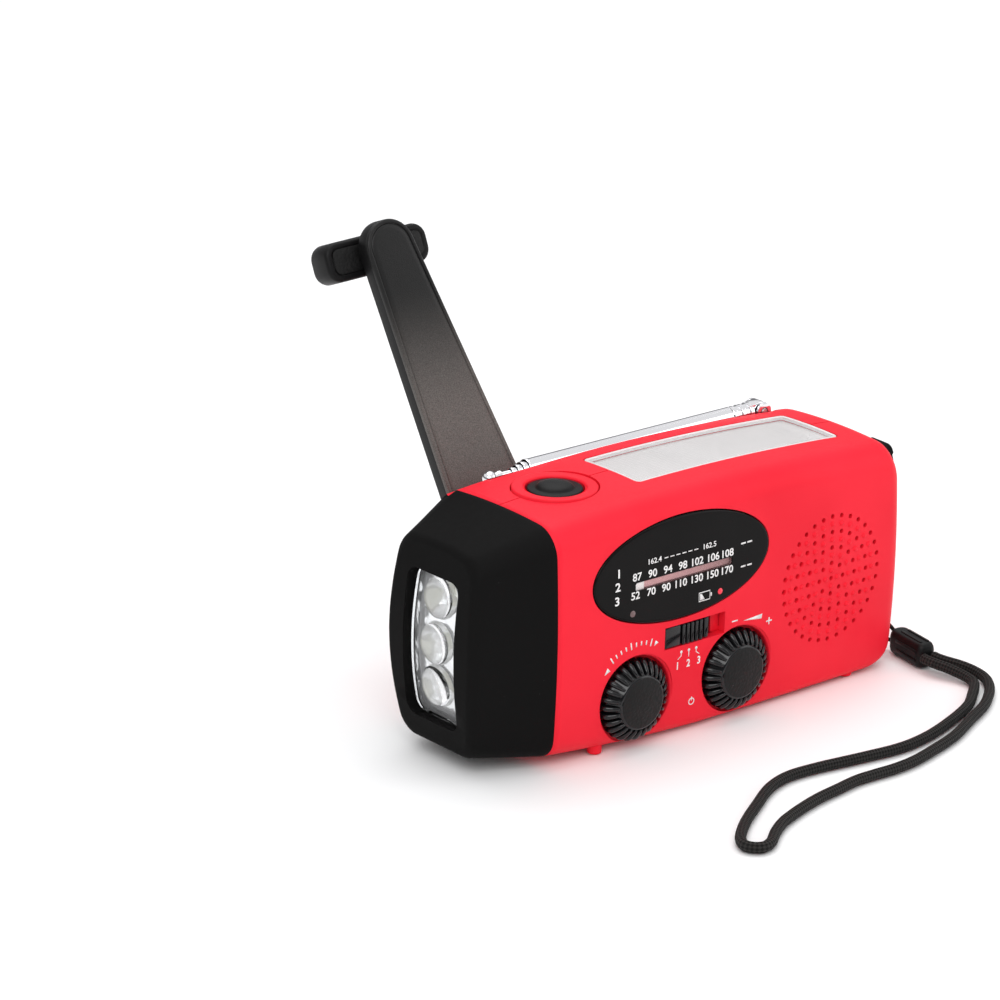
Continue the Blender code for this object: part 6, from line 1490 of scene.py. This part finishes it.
# %% Routes of the strap and its tether
CORD_LIES = 1.35
ON_TABLE = ((62.6, -48.5), (57.2, -52.4), (49.4, -55.9), (38.8, -59.5), (30.9, -61.1), (24.2, -61.3),
            (17.0, -60.4), (9.7, -59.3), (2.4, -58.2), (-5.0, -57.7), (-10.5, -58.6), (-16.1, -60.9),
            (-23.4, -65.4), (-30.9, -70.2), (-36.0, -74.1), (-39.6, -77.6), (-41.0, -81.0), (-38.9, -83.6),
            (-35.4, -82.9), (-31.0, -79.6), (-26.5, -76.8), (-22.8, -75.2), (-16.3, -73.0), (-9.3, -71.2),
            (-3.0, -70.2), (4.1, -69.1), (10.0, -69.2), (16.2, -69.5), (23.2, -68.9), (31.4, -66.9),
            (41.2, -63.9), (51.9, -58.8), (59.3, -55.3), (64.2, -52.1), (69.1, -48.0))
OUT = ((67.05, -27.42, 3.2), (66.85, -29.2, 3.2), (67.2, -31.8, 3.05), (68.3, -35.2, 2.6),
       (69.2, -39.2, 1.9), (68.5, -43.3, 1.4))
HOME = ((72.6, -43.5, 1.4), (73.2, -39.8, 1.9), (72.2, -36.0, 2.6), (70.8, -33.0, 3.0), (69.9, -30.2, 3.2),
        (69.98, -28.0, 3.2))
STRAP = (*OUT, *((x, y, CORD_LIES) for x, y in ON_TABLE), *HOME)
TETHER = ((71.1, -13.28, 2.4), (70.4, -11.6, 2.6), (69.0, -9.6, 3.0), (67.2, -7.7, 3.7), (65.7, -6.6, 5.1),
          (65.25, -6.4, 7.0), (65.6, -6.6, 8.8), (66.9, -7.7, 9.6), (68.5, -9.4, 9.0), (70.1, -11.3, 7.0),
          (71.1, -13.28, 4.9))


# %% A tube with a map for its yarns
def cord_tube(name, points, radius, sides=18):
    """A tube with a UV map: metres along it, and turns around it."""
    shape = bmesh.new()
    layer = shape.loops.layers.uv.new("UVMap")
    side_way = Vector((0, 0, 1))
    rings, runs, run = [], [], 0.0
    for k, point in enumerate(points):
        along = (points[min(k + 1, len(points) - 1)] - points[max(k - 1, 0)]).normalized()
        side_way = (side_way - along * side_way.dot(along)).normalized()
        other_way = along.cross(side_way)
        rings.append([shape.verts.new(point + radius * (math.cos(a) * side_way + math.sin(a) * other_way))
                      for a in (math.tau * n / sides for n in range(sides))])
        run += (point - points[k - 1]).length if k else 0
        runs.append(run / 1000)
    for number, corners in enumerate(between(rings)):
        k, n = divmod(number, sides)
        places = ((runs[k], n), (runs[k], n + 1), (runs[k + 1], n + 1), (runs[k + 1], n))
        for loop, (along, around_cord) in zip(shape.faces.new(corners).loops, places):
            loop[layer].uv = (along, around_cord / sides)
    shape.faces.new(rings[0][::-1])
    shape.faces.new(rings[-1])
    bmesh.ops.recalc_face_normals(shape, faces=shape.faces)
    mesh = bpy.data.meshes.new(name)
    shape.to_mesh(mesh)
    shape.free()
    return added(name, mesh)


# %% Strap and tether
STRAP_RADIUS = 1.3
strap_points, strap_length = smooth_route(STRAP, 1.0)
strap = cord_tube("strap_cord_look", strap_points, STRAP_RADIUS)
placed(strap, "black_braid", "radio", ["strap_cord"], sharp=60)
tether_points, tether_length = smooth_route(TETHER, 0.4)
tether = cord_tube("strap_tether_look", tether_points, 0.5, 12)
placed(tether, "black_braid", "radio", ["strap_tether"], sharp=60)
print("strap", round(strap_length, 1), "mm, tether", round(tether_length, 1), "mm")

# %% Lock
turn_lock = Matrix.Translation((69.8, -20.5, 0)) @ Matrix.Rotation(math.radians(-10.2), 4, 'Z')
levels = [(1.6, 0.02), (1.0, 0.1), (0.5, 0.45), (0.15, 1.1), (0.0, 2.0), (0.0, 4.6), (0.15, 5.5), (0.5, 6.15),
          (1.0, 6.5), (1.6, 6.58)]


def lock_outline(inset):
    return rounded(-2.6 + inset, 2.6 - inset, -7 + inset, 7 - inset, max(1.9 - inset * 0.6, 0.3), 8)


lock = cushion("strap_lock_look", lock_outline, levels, 'Z')
ridges = [block("ridge", (x - 0.35, -5.4, 6.4), (x + 0.35, 3.2, 6.85), 0.15, 2) for x in (-1.0, 1.0)]
side_ridges = [block("ridge", (-2.85, -5.4, z - 0.4), (-2.45, 3.2, z + 0.4), 0.15, 2) for z in (2.1, 4.4)]
lock = joined("strap_lock_look", [lock, *ridges, *side_ridges])
placed(lock, "black_satin", "radio", ["strap_lock"], axes=turn_lock)

# %% [markdown]
# ## Pieces inside
# The solids that nobody sees at rest, such as the gears, boards, speaker and battery, stay as
# the solid model has them. Each gets a finish that suits it.

# %% Finishes of the solids that stay
INSIDE = {
    "steel": ("gear_plate", "usb_socket", "speaker_frame", "generator_stator"),
    "cream_plastic": ("crank_gear", "idler_gear", "pointer_rail", "button_switch", "volume_control"),
    "ferrite": ("ferrite_rod", "speaker_magnet", "generator_rotor"),
    "copper": ("ferrite_coil",), "battery_sleeve": ("battery_pack",), "paper_cone": ("speaker_cone",),
    "circuit_board": ("main_board", "led_board"),
    "black_satin": ("band_switch_body", "tuning_capacitor", "charge_jack"),
}
for look, nodes in INSIDE.items():
    for node in nodes:
        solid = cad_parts[node]
        solid.data.materials.clear()
        solid.data.materials.append(FINISHES[look])
    print(f"{look}: {', '.join(nodes)}")

# %% [markdown]
# ## Cords
# The strap is a cord that leaves the radio at its lug, with the tether and the lock on
# it. Its length and the points of its path are worked out in metres.

strap_length / 1000
[tuple(TO_MODEL @ p) for p in strap_points]
print("cord declared,", len(strap_points), "points on its path")

# %% [markdown]
# ## Floor, backdrop and light
# The radio stands on a pale sheet that fades to white. Large soft lamps light it from the
# left and above, and the shadow below it stays faint, as in the photograph. Chrome sees a
# dark band above the floor, and what is seen through the lens is bright.

# %% Floor
floor_mesh = bpy.data.meshes.new("floor")
corners = [(x, y, -0.0002) for x, y in ((-6, -6), (6, -6), (6, 6), (-6, 6))]
floor_mesh.from_pydata(corners, [], [(0, 1, 2, 3)])
floor = added("floor", floor_mesh)
paper = Finish("floor_white", (0.95, 0.95, 0.95), Roughness=0.9, Specular_IOR_Level=0.1)
paper.set("Roughness", 0.88 + 0.08 * paper.noise(30, 2))
floor_mesh.materials.append(FINISHES["floor_white"])
print("floor", floor_mesh.vertices[1].co.x - floor_mesh.vertices[0].co.x, "m wide")

# %% White surroundings for the camera, softer grey ones for reflections
world = bpy.data.worlds.new("studio")
bpy.context.scene.world = world
world.use_nodes = True
sky = Graph(world.node_tree)
background = world.node_tree.nodes["Background"]
path = world.node_tree.nodes.new('ShaderNodeLightPath')
seen = Wire(sky, path.outputs["Is Camera Ray"])
glossy, through = Wire(sky, path.outputs["Is Glossy Ray"]), Wire(sky, path.outputs["Is Transmission Ray"])
place = sky.add('ShaderNodeTexCoord', output="Generated")
_, _, height = sky.parts(place)
shade = sky.blend(height.smooth(-0.2, 0.9), (0.48, 0.48, 0.48), (0.74, 0.74, 0.75))
band = height.smooth(0.02, 0.12) * (1 - height.smooth(0.30, 0.42))
mirrored = sky.blend(band, (0.92, 0.92, 0.93), (0.16, 0.16, 0.17))
soft = sky.blend(through, sky.blend(glossy, shade, mirrored), (0.95, 0.95, 0.96))
sky.feed(background.inputs["Color"], sky.blend(seen, soft, (1, 1, 1)))
background.inputs["Strength"].default_value = 1.0
print("world:", len(world.node_tree.nodes), "nodes")


# %% Lamps
def softbox(name, at, aim, size, power):
    lamp = bpy.data.lights.new(name, 'AREA')
    lamp.shape, lamp.size, lamp.size_y, lamp.energy = 'RECTANGLE', size, size, power
    light = added(name, lamp)
    direction = Vector(aim) - Vector(at)
    light.matrix_world = Matrix.Translation(at) @ direction.to_track_quat('-Z', 'Y').to_matrix().to_4x4()
    print(f"lamp {name}: {power} W, {size} m square")


AIM = (0, 0, 0.03)
softbox("key", (-0.9, -0.9, 1.1), AIM, 0.9, 9)
softbox("top", (0.2, 0.3, 1.3), AIM, 1.2, 8)
softbox("fill", (1.0, -0.8, 0.5), AIM, 0.8, 3)
scene = bpy.context.scene
scene.view_settings.view_transform = 'Standard'
for skin in (case_skin, bezel_skin):
    bpy.data.objects.remove(skin)
